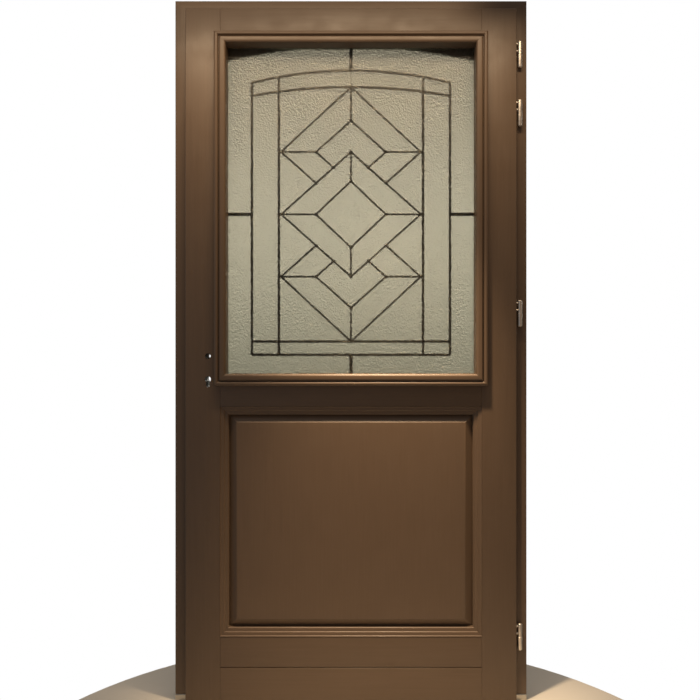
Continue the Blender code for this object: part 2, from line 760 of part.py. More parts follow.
def make_panel():
    """The raised panel, its stepped mouldings inside and plainer ones outside."""
    half = OPENING_HALF - PANEL_GAP
    foot = PANEL_OPENING_FOOT + PANEL_GAP
    top = PANEL_OPENING_TOP - PANEL_GAP
    panel = box("raised_panel", (-half, PANEL_FRONT, foot), (half, PANEL_BACK, top), "paint")
    shape = bmesh.new()
    shape.from_mesh(panel.data)
    shape.normal_update()
    front = [face for face in shape.faces if face.normal.y < -0.5]
    margin = PANEL_MOULDING_WIDTH - PANEL_GAP
    bmesh.ops.inset_region(shape, faces=front, use_even_offset=True, thickness=margin)
    bmesh.ops.inset_region(
        shape, faces=front, use_even_offset=True, thickness=PANEL_BEVEL, depth=PANEL_RAISE
    )
    shape.to_mesh(panel.data)
    shape.free()
    crest = LEAF_FRONT - PANEL_MOULDING_PROJECTION
    back = PANEL_FRONT - FIT
    width = PANEL_MOULDING_WIDTH - FIT
    section = [*panel_moulding_steps(width, crest), (width, back), (FIT, back)]
    inside = ring_of_bars(
        "panel_moulding", section, OPENING_HALF, PANEL_OPENING_FOOT, PANEL_OPENING_TOP
    )
    plain = outer_bead_section(OUTER_PANEL_MOULDING_WIDTH, PANEL_BACK + FIT)
    outside = ring_of_bars(
        "outer_panel_moulding", plain, OPENING_HALF, PANEL_OPENING_FOOT, PANEL_OPENING_TOP
    )
    return [panel, *inside, *outside]


def turned(name, profile, centre, finish):
    """A profile of (radius, z), run down its outer side, turned round the upright line at centre."""
    mesh = bpy.data.meshes.new(name)
    points = [(radius, 0, height) for radius, height in profile]
    mesh.from_pydata(points, [(i, i + 1) for i in range(len(points) - 1)], [])
    item = place(name, mesh, finish, Matrix.Translation(centre))
    screw = item.modifiers.new("turn", "SCREW")
    screw.steps = HINGE_SIDES
    screw.render_steps = HINGE_SIDES
    screw.use_merge_vertices = True
    screw.merge_threshold = 0.01 * MM
    return item


def make_hinge(number, height, stile, jamb):
    """A leaf knuckle over a frame knuckle with its collar, on one pin, each with two pins into the wood."""
    name = "hinge_" + str(number)
    centre = Vector((HINGE_X, HINGE_Y, height))
    top = HINGE_HEIGHT / 2
    split = top - KNUCKLE_SHARE
    bore = HINGE_PIN_RADIUS + HOLE_FIT
    leaf_profile = [
        (0, top),
        (HINGE_RADIUS - KNUCKLE_CHAMFER, top),
        (HINGE_RADIUS, top - KNUCKLE_CHAMFER),
        (HINGE_RADIUS, split + FIT),
        (bore, split + FIT),
        (bore, top - KNUCKLE_ROOF),
        (0, top - KNUCKLE_ROOF),
    ]
    collar = split - COLLAR_HEIGHT
    frame_profile = [
        (bore, split),
        (HINGE_RADIUS + COLLAR_STEP, split),
        (HINGE_RADIUS + COLLAR_STEP, collar),
        (HINGE_RADIUS, collar),
        (HINGE_RADIUS, KNUCKLE_CHAMFER - top),
        (HINGE_RADIUS - KNUCKLE_CHAMFER, -top),
        (0, -top),
        (0, KNUCKLE_ROOF - top),
        (bore, KNUCKLE_ROOF - top),
        (bore, split),
    ]
    leaf_knuckle = turned(name + "_leaf_knuckle", leaf_profile, centre, "chrome")
    frame_knuckle = turned(name + "_frame_knuckle", frame_profile, centre, "chrome")
    pin_end = top - KNUCKLE_ROOF - FIT
    rod(
        name + "_pin",
        centre - Vector((0, 0, pin_end)),
        centre + Vector((0, 0, pin_end)),
        HINGE_PIN_RADIUS,
        "steel",
    )
    into_leaf = Vector((-(HINGE_GAP + SCREW_PIN_DEPTH), 0, 0))
    into_frame = Vector((0, FRAME_FACE - HINGE_Y - HINGE_RADIUS + SCREW_PIN_DEPTH, 0))
    for below in LEAF_PINS_BELOW_TOP:
        start = centre + Vector((-(HINGE_RADIUS + bore) / 2, 0, top - below))
        screw_pin(leaf_knuckle, stile, name, start, into_leaf)
    for above in FRAME_PINS_ABOVE_FOOT:
        start = centre + Vector((0, (HINGE_RADIUS + bore) / 2, above - top))
        screw_pin(frame_knuckle, jamb, name, start, into_frame)
    smooth(leaf_knuckle)
    smooth(frame_knuckle)
    return leaf_knuckle


def screw_pin(knuckle, wood, name, start, reach):
    """A pin that grows from the knuckle, and the hole that it fills in the wood."""
    join(knuckle, rod(name + "_screw", start, start + reach, SCREW_PIN_RADIUS))
    hole = start + reach + reach.normalized() * HOLE_FIT
    cut(wood, rod(name + "_hole", start, hole, SCREW_PIN_RADIUS + HOLE_FIT))


def grown(low, high, by):
    return Vector(low) - Vector((by, by, by)), Vector(high) + Vector((by, by, by))


def spindle_rod(name, front, back, radius, finish=None):
    """A round rod on the spindle's axis, from front to back."""
    start = (SPINDLE_X, front, SPINDLE_HEIGHT)
    end = (SPINDLE_X, back, SPINDLE_HEIGHT)
    return rod(name, start, end, radius, finish, HOLE_SIDES)


def lock_holes(name, front, back, widen):
    """Cutters of the profile cylinder's hole: a round one over a slot with a round foot."""
    radius = CYLINDER_RADIUS + widen
    slot = CYLINDER_SLOT_WIDTH / 2 + widen
    foot = CYLINDER_HEIGHT + CYLINDER_RADIUS - CYLINDER_HOLE_HEIGHT + CYLINDER_SLOT_WIDTH / 2
    low = (SPINDLE_X - slot, front, foot)
    high = (SPINDLE_X + slot, back, CYLINDER_HEIGHT)
    round_ends = (SPINDLE_X, front, CYLINDER_HEIGHT), (SPINDLE_X, back, CYLINDER_HEIGHT)
    foot_ends = (SPINDLE_X, front - MM, foot), (SPINDLE_X, back + MM, foot)
    round_hole = rod(name + "_round", *round_ends, radius, sides=HOLE_SIDES)
    foot_hole = rod(name + "_foot", *foot_ends, slot, sides=HOLE_SIDES)
    return [round_hole, box(name + "_slot", low, high), foot_hole]


def make_lock(stile, jamb):
    """Lock case with its faceplate and withdrawn bolts, follower, and the strike plate in the jamb."""
    edge = -BODY_HALF
    half = CASE_THICKNESS / 2
    case_top = SPINDLE_HEIGHT + CASE_ABOVE_SPINDLE
    case_low = (edge + FACEPLATE_THICKNESS / 2, LOCK_Y - half, case_top - CASE_HEIGHT)
    case_high = (edge + CASE_REACH, LOCK_Y + half, case_top)
    plate_half = FACEPLATE_WIDTH / 2
    plate_top = SPINDLE_HEIGHT + FACEPLATE_ABOVE_SPINDLE
    plate_low = (edge, LOCK_Y - plate_half, plate_top - FACEPLATE_HEIGHT)
    plate_high = (edge + FACEPLATE_THICKNESS, LOCK_Y + plate_half, plate_top)
    lock = box("lock_case", plate_low, plate_high, "steel")
    join(lock, box("lock_body", case_low, case_high))
    through = 2 * BODY_THICKNESS
    case_front, case_back = LOCK_Y - half - MM, LOCK_Y + half + MM
    follower_hole = spindle_rod("follower_hole", case_front, case_back, FOLLOWER_RADIUS + HOLE_FIT)
    cut(lock, follower_hole, *lock_holes("case_cylinder", case_front, case_back, 0))
    cut(stile, box("mortise", *grown(case_low, case_high, FIT)))
    recess_low, recess_high = grown(plate_low, plate_high, FIT)
    recess_low.x = edge - MM
    cut(stile, box("faceplate_recess", recess_low, recess_high))
    wood_spindle = spindle_rod("spindle_hole", -through, through, SPINDLE_HOLE_RADIUS)
    cut(stile, wood_spindle, *lock_holes("wood_cylinder", -through, through, MM))
    case_sides = LOCK_Y - half, LOCK_Y + half
    follower = spindle_rod("spindle_follower", *case_sides, FOLLOWER_RADIUS, "steel")
    square = FOLLOWER_SQUARE / 2
    square_low = (SPINDLE_X - square, case_front, SPINDLE_HEIGHT - square)
    square_high = (SPINDLE_X + square, case_back, SPINDLE_HEIGHT + square)
    cut(follower, box("square_hole", square_low, square_high))
    make_strike(jamb)
    return [lock, follower]


def make_strike(jamb):
    """A plate flush with the jamb's rebate, with pockets behind it for the latch and the dead bolt."""
    face = -REBATE_HALF
    half = FACEPLATE_WIDTH / 2
    top = SPINDLE_HEIGHT + FACEPLATE_ABOVE_SPINDLE
    low = (face - FACEPLATE_THICKNESS, LOCK_Y - half, top - FACEPLATE_HEIGHT)
    high = (face, LOCK_Y + half, top)
    strike = box("strike_plate", low, high, "steel")
    recess_low, recess_high = grown(low, high, FIT)
    recess_high.x = face + MM
    cut(jamb, box("strike_recess", recess_low, recess_high))
    bolt_half = BOLT_THICKNESS / 2 + STRIKE_MARGIN / 2
    for name, height, offset in (
        ("latch", LATCH_HEIGHT, LATCH_ABOVE_SPINDLE - LATCH_HEIGHT / 2),
        ("bolt", BOLT_HEIGHT, -BOLT_BELOW_SPINDLE),
    ):
        middle = SPINDLE_HEIGHT + offset
        reach = height / 2 + STRIKE_MARGIN
        pocket_low = (face - STRIKE_DEPTH, LOCK_Y - bolt_half, middle - reach)
        pocket_high = (face + MM, LOCK_Y + bolt_half, middle + reach)
        pocket = box(name + "_pocket", pocket_low, pocket_high)
        cut(strike, pocket)
        cut(jamb, pocket)


def make_door():
    lock_jamb, hinge_jamb = make_frame()
    pivot = bpy.data.objects.new("leaf_swing", None)
    pivot.location = (HINGE_X, HINGE_Y, 0)
    DOOR.objects.link(pivot)
    lock_stile = make_stile("stile_lock_side", -1)
    hinge_stile = make_stile("stile_hinge_side", 1)
    leaf = [lock_stile, hinge_stile, *make_rails(), *make_glazing(), *make_panel()]
    heights = [LIP_FOOT + height for height in HINGES_FROM_FOOT]
    heights += [LIP_TOP - height for height in HINGES_FROM_TOP]
    for number, height in enumerate(heights, start=1):
        leaf.append(make_hinge(number, height, hinge_stile, hinge_jamb))
    leaf += make_lock(lock_stile, lock_jamb)
    bpy.context.view_layer.update()
    hang(pivot, leaf)


clear_scene()
DOOR = new_collection("glazed_entrance_door")
CUTTERS = new_collection("cutters")
make_door()
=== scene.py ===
"""Looks of a half glazed entrance door that hangs in its frame.

Metres, +Z up, the inside face towards -Y. Every piece is a surface worked out with numpy and put where the
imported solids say. A profile is a list of (distance in from its outer edge, y) or, for turned pieces, of
(radius, z).
"""

import json
import math

import bmesh
import bpy
import numpy as np
from bpy.props import FloatProperty, FloatVectorProperty, IntProperty, PointerProperty
from bpy.types import Operator, Panel, PropertyGroup
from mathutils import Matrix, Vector


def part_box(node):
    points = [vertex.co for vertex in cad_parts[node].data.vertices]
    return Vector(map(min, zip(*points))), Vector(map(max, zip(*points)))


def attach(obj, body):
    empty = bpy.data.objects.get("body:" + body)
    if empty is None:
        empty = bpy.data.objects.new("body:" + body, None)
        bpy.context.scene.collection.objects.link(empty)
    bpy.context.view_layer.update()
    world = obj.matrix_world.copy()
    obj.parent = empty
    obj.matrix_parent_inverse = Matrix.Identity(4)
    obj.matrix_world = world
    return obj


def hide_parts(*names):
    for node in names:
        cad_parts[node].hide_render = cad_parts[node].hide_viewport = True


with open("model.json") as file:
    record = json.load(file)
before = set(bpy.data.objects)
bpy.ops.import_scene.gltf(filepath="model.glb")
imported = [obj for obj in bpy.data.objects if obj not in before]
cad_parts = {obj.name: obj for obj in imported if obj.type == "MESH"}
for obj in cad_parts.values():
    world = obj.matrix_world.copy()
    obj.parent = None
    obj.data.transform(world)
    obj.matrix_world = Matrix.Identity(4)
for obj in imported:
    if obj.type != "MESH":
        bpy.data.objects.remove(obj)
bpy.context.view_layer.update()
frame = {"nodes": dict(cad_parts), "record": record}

bl_info = {
    "name": "Glazed entrance door",
    "version": (1, 0, 0),
    "blender": (4, 5, 0),
    "location": "3D Viewport > Sidebar > Entrance Door",
    "description": "Builds the finished surfaces of a half glazed entrance door in its frame",
    "category": "Add Mesh",
}

MM = 0.001
X, Y, Z = 0, 1, 2


def corners(node):
    """Lowest and highest corner of a solid, as arrays."""
    low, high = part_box(node)
    return np.array(low), np.array(high)


def centre_of(node):
    low, high = corners(node)
    return (low + high) / 2


# Places read from the solids
STILE_LOW, STILE_HIGH = corners("stile_hinge_side")
JAMB_LOW, JAMB_HIGH = corners("jamb_hinge_side")
HEAD_LOW, HEAD_HIGH = corners("frame_head")
SILL_LOW, SILL_HIGH = corners("threshold")
GASKET_LOW, GASKET_HIGH = corners("frame_gasket")
MOULDING_LOW, MOULDING_HIGH = corners("glazing_moulding_bottom")
PANE_LOW, PANE_HIGH = corners("ornament_pane")
REAR_LOW, REAR_HIGH = corners("rear_pane")
SPACER_LOW, SPACER_HIGH = corners("glass_spacer")
ARCHED_LOW, ARCHED_HIGH = corners("arched_head_piece")
PANEL_LOW, PANEL_HIGH = corners("raised_panel")
PANEL_BAR_LOW, PANEL_BAR_HIGH = corners("panel_moulding_bottom")
LOCK_LOW, LOCK_HIGH = corners("lock_case")
STRIKE_LOW, STRIKE_HIGH = corners("strike_plate")
FOLLOWER = centre_of("spindle_follower")
LATTICE_MIDDLE = centre_of("leaded_lattice")[Y]
MOULDING_TOP = corners("glazing_moulding_top")[1][Z]
OUTER_BEAD_FRONT = corners("outer_bead_bottom")[0][Y]
OUTER_BEAD_TOP = corners("outer_bead_lock_side")[1][Z]
OUTER_BAR_FRONT = corners("outer_panel_moulding_bottom")[0][Y]

FRAME_HALF, STOP_HALF = JAMB_HIGH[X], JAMB_LOW[X]
FRAME_FACE, FRAME_BACK = JAMB_LOW[Y], JAMB_HIGH[Y]
FRAME_TOP = HEAD_HIGH[Z]
LIP_HALF, OPENING_HALF = STILE_HIGH[X], STILE_LOW[X]
LEAF_FRONT, LEAF_BACK = STILE_LOW[Y], STILE_HIGH[Y]
LIP_FOOT, LIP_TOP = STILE_LOW[Z], STILE_HIGH[Z]
BODY_HALF = -LOCK_LOW[X]
REBATE_GAP = -STRIKE_HIGH[X] - BODY_HALF
LIP_OVERLAP = LIP_HALF - BODY_HALF
BODY_TOP = LIP_TOP - LIP_OVERLAP
GLASS_OPENING_TOP = corners("top_rail")[0][Z]
PANEL_OPENING_TOP, GLASS_OPENING_FOOT = (corner[Z] for corner in corners("lock_rail"))
PANEL_OPENING_FOOT = corners("upper_bottom_rail")[1][Z]
RAIL_JOINT = corners("lower_bottom_rail")[1][Z]

# Sizes of the joinery that no corner of a solid gives
LIP_GAP = 1 * MM
BODY_CLEARANCE = 6 * MM
GASKET_GAP = 0.3 * MM
SHOULDER = GASKET_HIGH[Y] + GASKET_GAP
LIP_BACK = FRAME_FACE - LIP_GAP
SILL_TOP = 20 * MM
BODY_FOOT = SILL_TOP + BODY_CLEARANCE
RAIL_CHAMFER = 1.5 * MM
RAIL_ARRIS = 0.4 * MM
RAIL_JOINT_GAP = 0.3 * MM
PAINT_GAP = 0.15 * MM
JOINT_ARRIS = 1.2 * MM
JOINT_DEPTH = 3 * MM

# Threshold and gasket; a groove's corners are shares of its depth and of the pitch
SILL_NOSE = 4 * MM
SILL_GROOVE_DEPTH = 0.8 * MM
SILL_GROOVE_PITCH = 5 * MM
SILL_GROOVE = ((0, 0), (1, 0.1), (1, 0.4), (0, 0.5))
RIB_THICKNESS = 6 * MM
RIB_ROUNDING = 2 * MM
RIB_GAP = 0.3 * MM
GASKET_WIDTH = 10 * MM
GASKET_BULB = (2 * MM, 5 * MM, 8 * MM)

# Glazing moulding: round bead, quirk, ovolo, a flat, a rounded sight edge and a square side down to the glass
MOULDING_WIDTH = 37 * MM
MOULDING_LAP = MOULDING_HIGH[X] - OPENING_HALF
BEAD_WIDTH = 13.5 * MM
BEAD_RISE = 6 * MM
BEAD_BELOW_CREST = 1 * MM
QUIRK_WIDTH = 2 * MM
QUIRK_BELOW_CREST = 9.5 * MM
OVOLO_WIDTH = 6 * MM
SIGHT_ROUNDING = 8 * MM
SEAT_GAP = 0.1 * MM
TONGUE_GAP = 0.3 * MM

# Outside beads
BAR_GAP = 0.2 * MM
OUTER_BEAD_WIDTH = 20 * MM
OUTER_PANEL_BEAD_WIDTH = 18 * MM
OUTER_BEAD_CHAMFER = 6 * MM
ARCH_CROWN_DEPTH = 9 * MM
ARCH_RISE = 44 * MM

# Raised panel and its stepped moulding
PANEL_MOULDING_WIDTH = 26 * MM
PANEL_MOULDING_STEPS = 3
PANEL_MOULDING_FALL = 14 * MM
PANEL_COVE_WIDTH = 3 * MM
PANEL_FILLET_FALL = 1 * MM
PANEL_BEVEL = 25 * MM
PANEL_RAISE = 16 * MM
PANEL_MARGIN = PANEL_MOULDING_WIDTH - (OPENING_HALF - PANEL_HIGH[X])
PANEL_FIELD_BORDER = 20 * MM

# Glass unit
PANE_ARRIS = 0.5 * MM
SPACER_WIDTH = 14 * MM

# Leaded lattice
LATTICE_SIDE_MARGIN = 95 * MM
LATTICE_FOOT_MARGIN = 79 * MM
LATTICE_TOP_MARGIN = 87 * MM
SIDE_BAND = 85 * MM
FOOT_BAND = 42 * MM
TOP_BAND = 52 * MM
INNER_ARC_RISE = 28 * MM
OUTER_ARC_RISE = 39 * MM
KNOT_INSET = 7 * MM
KNOT_PITCH_SHARE = 0.49
DIAMOND_SHARE = 0.26
BORDER_WIDTH = 8 * MM
LEAD_WIDTH = 6 * MM
STUB_WIDTH = 11 * MM
STUB_THICKNESS = 7.2 * MM
CAME_THICKNESS = 5.4 * MM
SOLDER_RADIUS = 5.5 * MM

# Hinges
HINGE_NUMBERS = (1, 2, 3, 4)
HINGE_HEIGHT = 84 * MM
HINGE_RADIUS = 7 * MM
HINGE_BORE = 3.9 * MM
HINGE_ARRIS = 0.4 * MM
KNUCKLE_HEIGHT = 42 * MM
KNUCKLE_GAP = 0.3 * MM
SOCKET_DEPTH = 3 * MM
COLLAR_HEIGHT = 13 * MM
COLLAR_STEP = 0.6 * MM
DOME_HEIGHT = 3.2 * MM
SCREW_PIN_RADIUS = 3.2 * MM
PIN_IN_KNUCKLE = 2 * MM
PIN_IN_TIMBER = 3 * MM
LEAF_PINS_BELOW_TOP = (9 * MM, 31.5 * MM)
FRAME_PINS_ABOVE_FOOT = (9 * MM, 23 * MM)

# Lock and strike plate
CYLINDER_BELOW_SPINDLE = 72 * MM
SPINDLE_HOLE_RADIUS = 9 * MM
CYLINDER_HOLE_RADIUS = 9.5 * MM
CYLINDER_HOLE_HEIGHT = 35 * MM
CYLINDER_SLOT_WIDTH = 12 * MM
CASE_HALF = 7.5 * MM
CASE_ABOVE_SPINDLE = 40 * MM
CASE_BELOW_SPINDLE = 125 * MM
CASE_GAP = 0.3 * MM
FACEPLATE_THICKNESS = 3 * MM
BED_GAP = 0.2 * MM
POCKET_OVERLAP = 0.5 * MM
CUT_OVERSHOOT = 10 * MM
SCREW_INSET = 10 * MM
SCREW_RADIUS = 3.5 * MM
SCREW_PROUD = 0.4 * MM
SCREW_ROUNDING = 0.3 * MM

# Stage
FLOOR_RADIUS = 1.0
FLOOR_AHEAD = 0.55
FLOOR_SIDES = 96
CAMERA_ASIDE = -3 * MM
SENSOR_WIDTH = 36.0
WHITE = (1.0, 1.0, 1.0, 1.0)
MIDDLE_STRENGTH = 1.65
OVERHEAD_STRENGTH = 0.45
# Each blend of the world's light: name, axis of the direction, where it starts and ends, and its two tones
LIGHT_BLENDS = (
    ("low_sky", "Z", 0.04, 0.20, "low", "middle"),
    ("sky", "Z", 0.22, 0.28, "low_sky", "high"),
    ("room", "X", -0.60, 0.60, "left", "right"),
    ("around", "Y", -0.05, 0.15, "room", "sky"),
    ("light", "Z", 0.60, 0.85, "around", "overhead"),
)

# Fineness of the surfaces
ARC_STEPS = 10
ARCH_STEPS = 48
DOME_STEPS = 8
BULB_STEPS = 6
COVE_STEPS = 5
ROUND_SIDES = 40
PIN_SIDES = 24
SCREW_SIDES = 20
CAME_SIDES = 12
ARRIS_STEPS = 4
SMOOTH_ANGLE = math.radians(32)
FLAT_ANGLE = math.radians(1)
MERGE_DISTANCE = 0.002 * MM
NEAR = 0.5 * MM


def linear(hex_colour):
    """An sRGB colour such as #8A7B6C as linear red, green and blue."""
    values = np.array([int(hex_colour[i : i + 2], 16) for i in (1, 3, 5)]) / 255
    low, high = values / 12.92, ((values + 0.055) / 1.055) ** 2.4
    return tuple(float(v) for v in np.where(values <= 0.04045, low, high))


def shade(colour, factor):
    """A linear colour made darker or paler."""
    return tuple(factor * value for value in colour)


def colour_property(name, description, hex_colour):
    kind = {"subtype": "COLOR", "size": 3, "min": 0.0, "max": 1.0}
    return FloatVectorProperty(name=name, description=description, default=linear(hex_colour), **kind)


def length_property(name, description, default):
    kind = {"min": 0.0, "subtype": "DISTANCE", "unit": "LENGTH", "precision": 5}
    return FloatProperty(name=name, description=description, default=default, **kind)


def share_property(name, description, default):
    return FloatProperty(name=name, description=description, default=default, min=0.0, max=1.0)


def power_property(name, description, default):
    return FloatProperty(name=name, description=description, default=default, min=0.0, unit="POWER")


class JoinerySettings(PropertyGroup):
    """Finish of the painted timber."""

    paint: colour_property("Paint", "Colour of the satin paint", "#62503F")
    worn_paint: colour_property("Raised grain", "Colour of the paint on the raised grain", "#675443")
    roughness: share_property("Roughness", "Roughness of the satin paint", 0.42)
    arris: length_property("Arris", "Rounding of the leaf's outer edges", 2.5 * MM)
    frame_arris: length_property("Frame arris", "Rounding of the frame's edges", 2.0 * MM)
    grain_width: length_property("Grain width", "Width of a streak of grain under the paint", 5 * MM)
    grain_length: length_property("Grain length", "Length of a streak of grain under the paint", 160 * MM)


class GlazingSettings(PropertyGroup):
    """Finish of the glass unit and its lattice."""

    ornament: colour_property("Ornament glass", "Tint of the grained pane", "#F3F0E4")
    rear: colour_property("Rear glass", "Tint of the satin pane", "#E8E5D8")
    lead: colour_property("Lead", "Colour of the dull lead", "#23211C")
    ornament_roughness: share_property("Ornament roughness", "Roughness of the grained pane", 0.29)
    ornament_clarity: share_property("Ornament clarity", "Share of light that isn't scattered back", 0.995)
    grain_size: length_property("Glass grain", "Width of one grain of the ornament glass", 4.6 * MM)
    grain_height: length_property("Grain height", "Height of the ornament glass's grain", 2.3 * MM)


class HardwareSettings(PropertyGroup):
    """Finish of the metal and rubber parts."""

    nickel: colour_property("Nickel", "Colour of the hinges' bright nickel", "#DED6CC")
    steel: colour_property("Steel", "Colour of the lock's zinc plated steel", "#B9B6AE")
    aluminium: colour_property("Aluminium", "Colour of the threshold's anodised aluminium", "#C4BFB6")
    spacer: colour_property("Spacer", "Colour of the spacer's mill aluminium", "#8F8A7C")
    rubber: colour_property("Rubber", "Colour of the gasket's rubber", "#1B1B1B")
    round_sides: IntProperty(name="Round sides", description="Sides of a hinge", default=ROUND_SIDES, min=8)


class StageSettings(PropertyGroup):
    """Floor, light and camera."""

    floor: colour_property("Floor", "Colour of the pale floor", "#D6D0C6")
    strip_power: power_property("Ceiling strip", "Power of the warm strip over the door", 4.3)
    wash_power: power_property("Head wash", "Power of the narrow strip that lights the head", 0.30)
    beam_power: power_property("Ceiling beam", "Power of the warm downlight", 228.0)
    ceiling_colour: colour_property("Ceiling colour", "Colour of the warm ceiling lights", "#FFE0B8")
    sky_low: colour_property("Low light", "Light behind the glass, level with the lens", "#7C7F78")
    sky_middle: colour_property("Middle light", "Light behind the glass, a little higher", "#FFFBF2")
    sky_high: colour_property("High light", "Light behind the glass, at its top", "#4E4946")
    overhead: colour_property("Overhead light", "Light from straight above", "#FFF6EA")
    room_left: colour_property("Room light, left", "Soft cool light of the room, from the left", "#787A7E")
    room_right: colour_property("Room light, right", "Soft warm light of the room, from the right", "#745E48")
    camera_distance: length_property("Camera distance", "From the lens to the frame's face", 2.4)
    camera_height: length_property("Camera height", "Height of the lens", 1.097)
    focal_length: FloatProperty(name="Focal length", description="Of the lens, in mm", default=39.4, min=1.0)


def unit(vectors):
    return vectors / np.linalg.norm(vectors, axis=-1, keepdims=True)


def left_of(directions):
    """Each direction of the XZ plane turned a quarter to the left, seen from the inside."""
    return np.stack([-directions[:, 1], directions[:, 0]], axis=1)


def turn(sides):
    """The angles of a full turn in equal steps."""
    return np.arange(sides) * (2 * math.pi / sides)


def grid_faces(rows, columns, wrap_rows=False, wrap_columns=False):
    """Quads between neighbouring points of a grid, row by row, closed round where asked."""
    last_row, last_column = rows if wrap_rows else rows - 1, columns if wrap_columns else columns - 1
    row, column = np.meshgrid(np.arange(last_row), np.arange(last_column), indexing="ij")
    next_row, next_column = (row + 1) % rows, (column + 1) % columns
    quads = [row * columns + column, row * columns + next_column]
    quads += [next_row * columns + next_column, next_row * columns + column]
    return np.stack(quads, axis=-1).reshape(-1, 4).tolist()


def end_faces(rows, columns):
    """The first and the last row of a grid, each as one face."""
    return [list(range(columns)), list(range((rows - 1) * columns, rows * columns))]


def swept(section, path, closed_path=False, slopes=(0.0, 0.0)):
    """A closed profile carried along a polyline of the XZ plane.

    Each profile point (d, y) stands at path + d * aside. Aside is the sum of the left normals of the two
    stretches that meet there, times two over its squared length, which mitres every corner. At an open end
    aside is the left normal plus the slope times the direction back into the bar.
    """
    section, path = np.asarray(section, float), np.asarray(path, float)
    if closed_path:
        before, after = path - np.roll(path, 1, axis=0), np.roll(path, -1, axis=0) - path
    else:
        steps = np.diff(path, axis=0)
        before, after = np.vstack([steps[:1], steps]), np.vstack([steps, steps[-1:]])
    before, after = unit(before), unit(after)
    aside = left_of(before) + left_of(after)
    aside = 2 * aside / (aside**2).sum(axis=1, keepdims=True)
    if not closed_path:
        aside[0] += slopes[0] * after[0]
        aside[-1] -= slopes[1] * before[-1]
    flat = path[:, None, :] + section[None, :, :1] * aside[:, None, :]
    depth = np.broadcast_to(section[:, 1], flat.shape[:2])
    points = np.stack([flat[..., 0], depth, flat[..., 1]], axis=-1).reshape(-1, 3)
    rows, columns = len(path), len(section)
    faces = grid_faces(rows, columns, closed_path, True)
    return points, faces if closed_path else faces + end_faces(rows, columns)


def turned(profile, centre, sides):
    """A profile of (radius, z) turned round the upright line at centre: (r cos a, r sin a, z)."""
    radius, height = np.asarray(profile, float).T[..., None]
    angle = turn(sides)
    points = [radius * np.cos(angle), radius * np.sin(angle), np.broadcast_to(height, (len(radius), sides))]
    points = np.stack(points, axis=-1) + centre
    return points.reshape(-1, 3), grid_faces(len(radius), sides, False, True)


def rod(start, end, radius, sides=PIN_SIDES, rounding=0.0):
    """A round bar: rings of the radius along the line, drawn in by the rounding at both ends."""
    start, end = np.asarray(start, float), np.asarray(end, float)
    axis = unit(end - start)
    across = unit(np.cross(axis, (0.31, 0.47, 0.83)))
    upright = np.cross(axis, across)
    length = np.linalg.norm(end - start)
    along = np.array([0, 0, rounding, length - rounding, length, length])
    rings = np.array([0, radius - rounding, radius, radius, radius - rounding, 0])
    angle = turn(sides)[:, None]
    circle = np.cos(angle) * across + np.sin(angle) * upright
    points = start + along[:, None, None] * axis + rings[:, None, None] * circle
    return points.reshape(-1, 3), grid_faces(len(rings), sides, False, True)


def block(low, high):
    """A box between two corners, as a square profile carried upwards."""
    low, high = np.asarray(low, float), np.asarray(high, float)
    corner = np.array([(0, 0), (1, 0), (1, 1), (0, 1)])
    flat = low[:2] + corner * (high - low)[:2]
    points = np.concatenate([np.c_[flat, np.full(4, low[Z])], np.c_[flat, np.full(4, high[Z])]])
    return points, grid_faces(2, 4, False, True) + end_faces(2, 4)


def drop(centre, radius, thickness, sides=14, rings=7):
    """A flattened ball: (r sin t cos a, h cos t, r sin t sin a) with t from pole to pole along Y."""
    tilt = np.linspace(0, math.pi, rings)[:, None]
    angle = turn(sides)
    across, up = radius * np.sin(tilt) * np.cos(angle), radius * np.sin(tilt) * np.sin(angle)
    points = np.stack([across, thickness / 2 * np.cos(tilt) * np.ones(sides), up], axis=-1) + centre
    return points.reshape(-1, 3), grid_faces(rings, sides, False, True)


def rounded(outline, radii, steps=5):
    """A closed outline whose corners are replaced by short parabolas that touch both sides.

    Each corner P becomes (1-s)^2 (P + a r) + 2 s (1-s) P + s^2 (P + b r), with a and b towards its
    neighbours.
    """
    outline = np.asarray(outline, float)
    radii = np.broadcast_to(np.asarray(radii, float), len(outline))[:, None]
    start = outline + unit(np.roll(outline, 1, axis=0) - outline) * radii
    end = outline + unit(np.roll(outline, -1, axis=0) - outline) * radii
    s = np.linspace(0, 1, steps)[None, :, None]
    curve = (1 - s) ** 2 * start[:, None] + 2 * s * (1 - s) * outline[:, None] + s**2 * end[:, None]
    return curve.reshape(-1, 2)


def quarter(start, end, steep_first, steps=ARC_STEPS):
    """Points after start along a quarter of an ellipse to end, steep at the start or else at the end."""
    angle = np.arange(1, steps + 1) * (math.pi / 2 / steps)
    slow, fast = 1 - np.cos(angle), np.sin(angle)
    across, along = (slow, fast) if steep_first else (fast, slow)
    start, end = np.asarray(start, float), np.asarray(end, float)
    return start + (end - start) * np.stack([across, along], axis=1)


def arc(half, crown, rise, steps=ARCH_STEPS):
    """A round arc of less than half a turn, from -half to half: its ends lie lower than its crown by rise."""
    radius = (half**2 + rise**2) / (2 * rise)
    angle = np.linspace(-1, 1, steps + 1) * math.asin(half / radius)
    return np.stack([radius * np.sin(angle), crown - radius * (1 - np.cos(angle))], axis=1)


def came_section(width, thickness=CAME_THICKNESS):
    """An ellipse, width across and thickness along Y: the profile of a lead came."""
    angle = turn(CAME_SIDES)
    return np.stack([width / 2 * np.cos(angle), LATTICE_MIDDLE + thickness / 2 * np.sin(angle)], axis=1)


def rectangle(width, front, back):
    """The profile of a square edged bar."""
    return [(0, front), (width, front), (width, back), (0, back)]


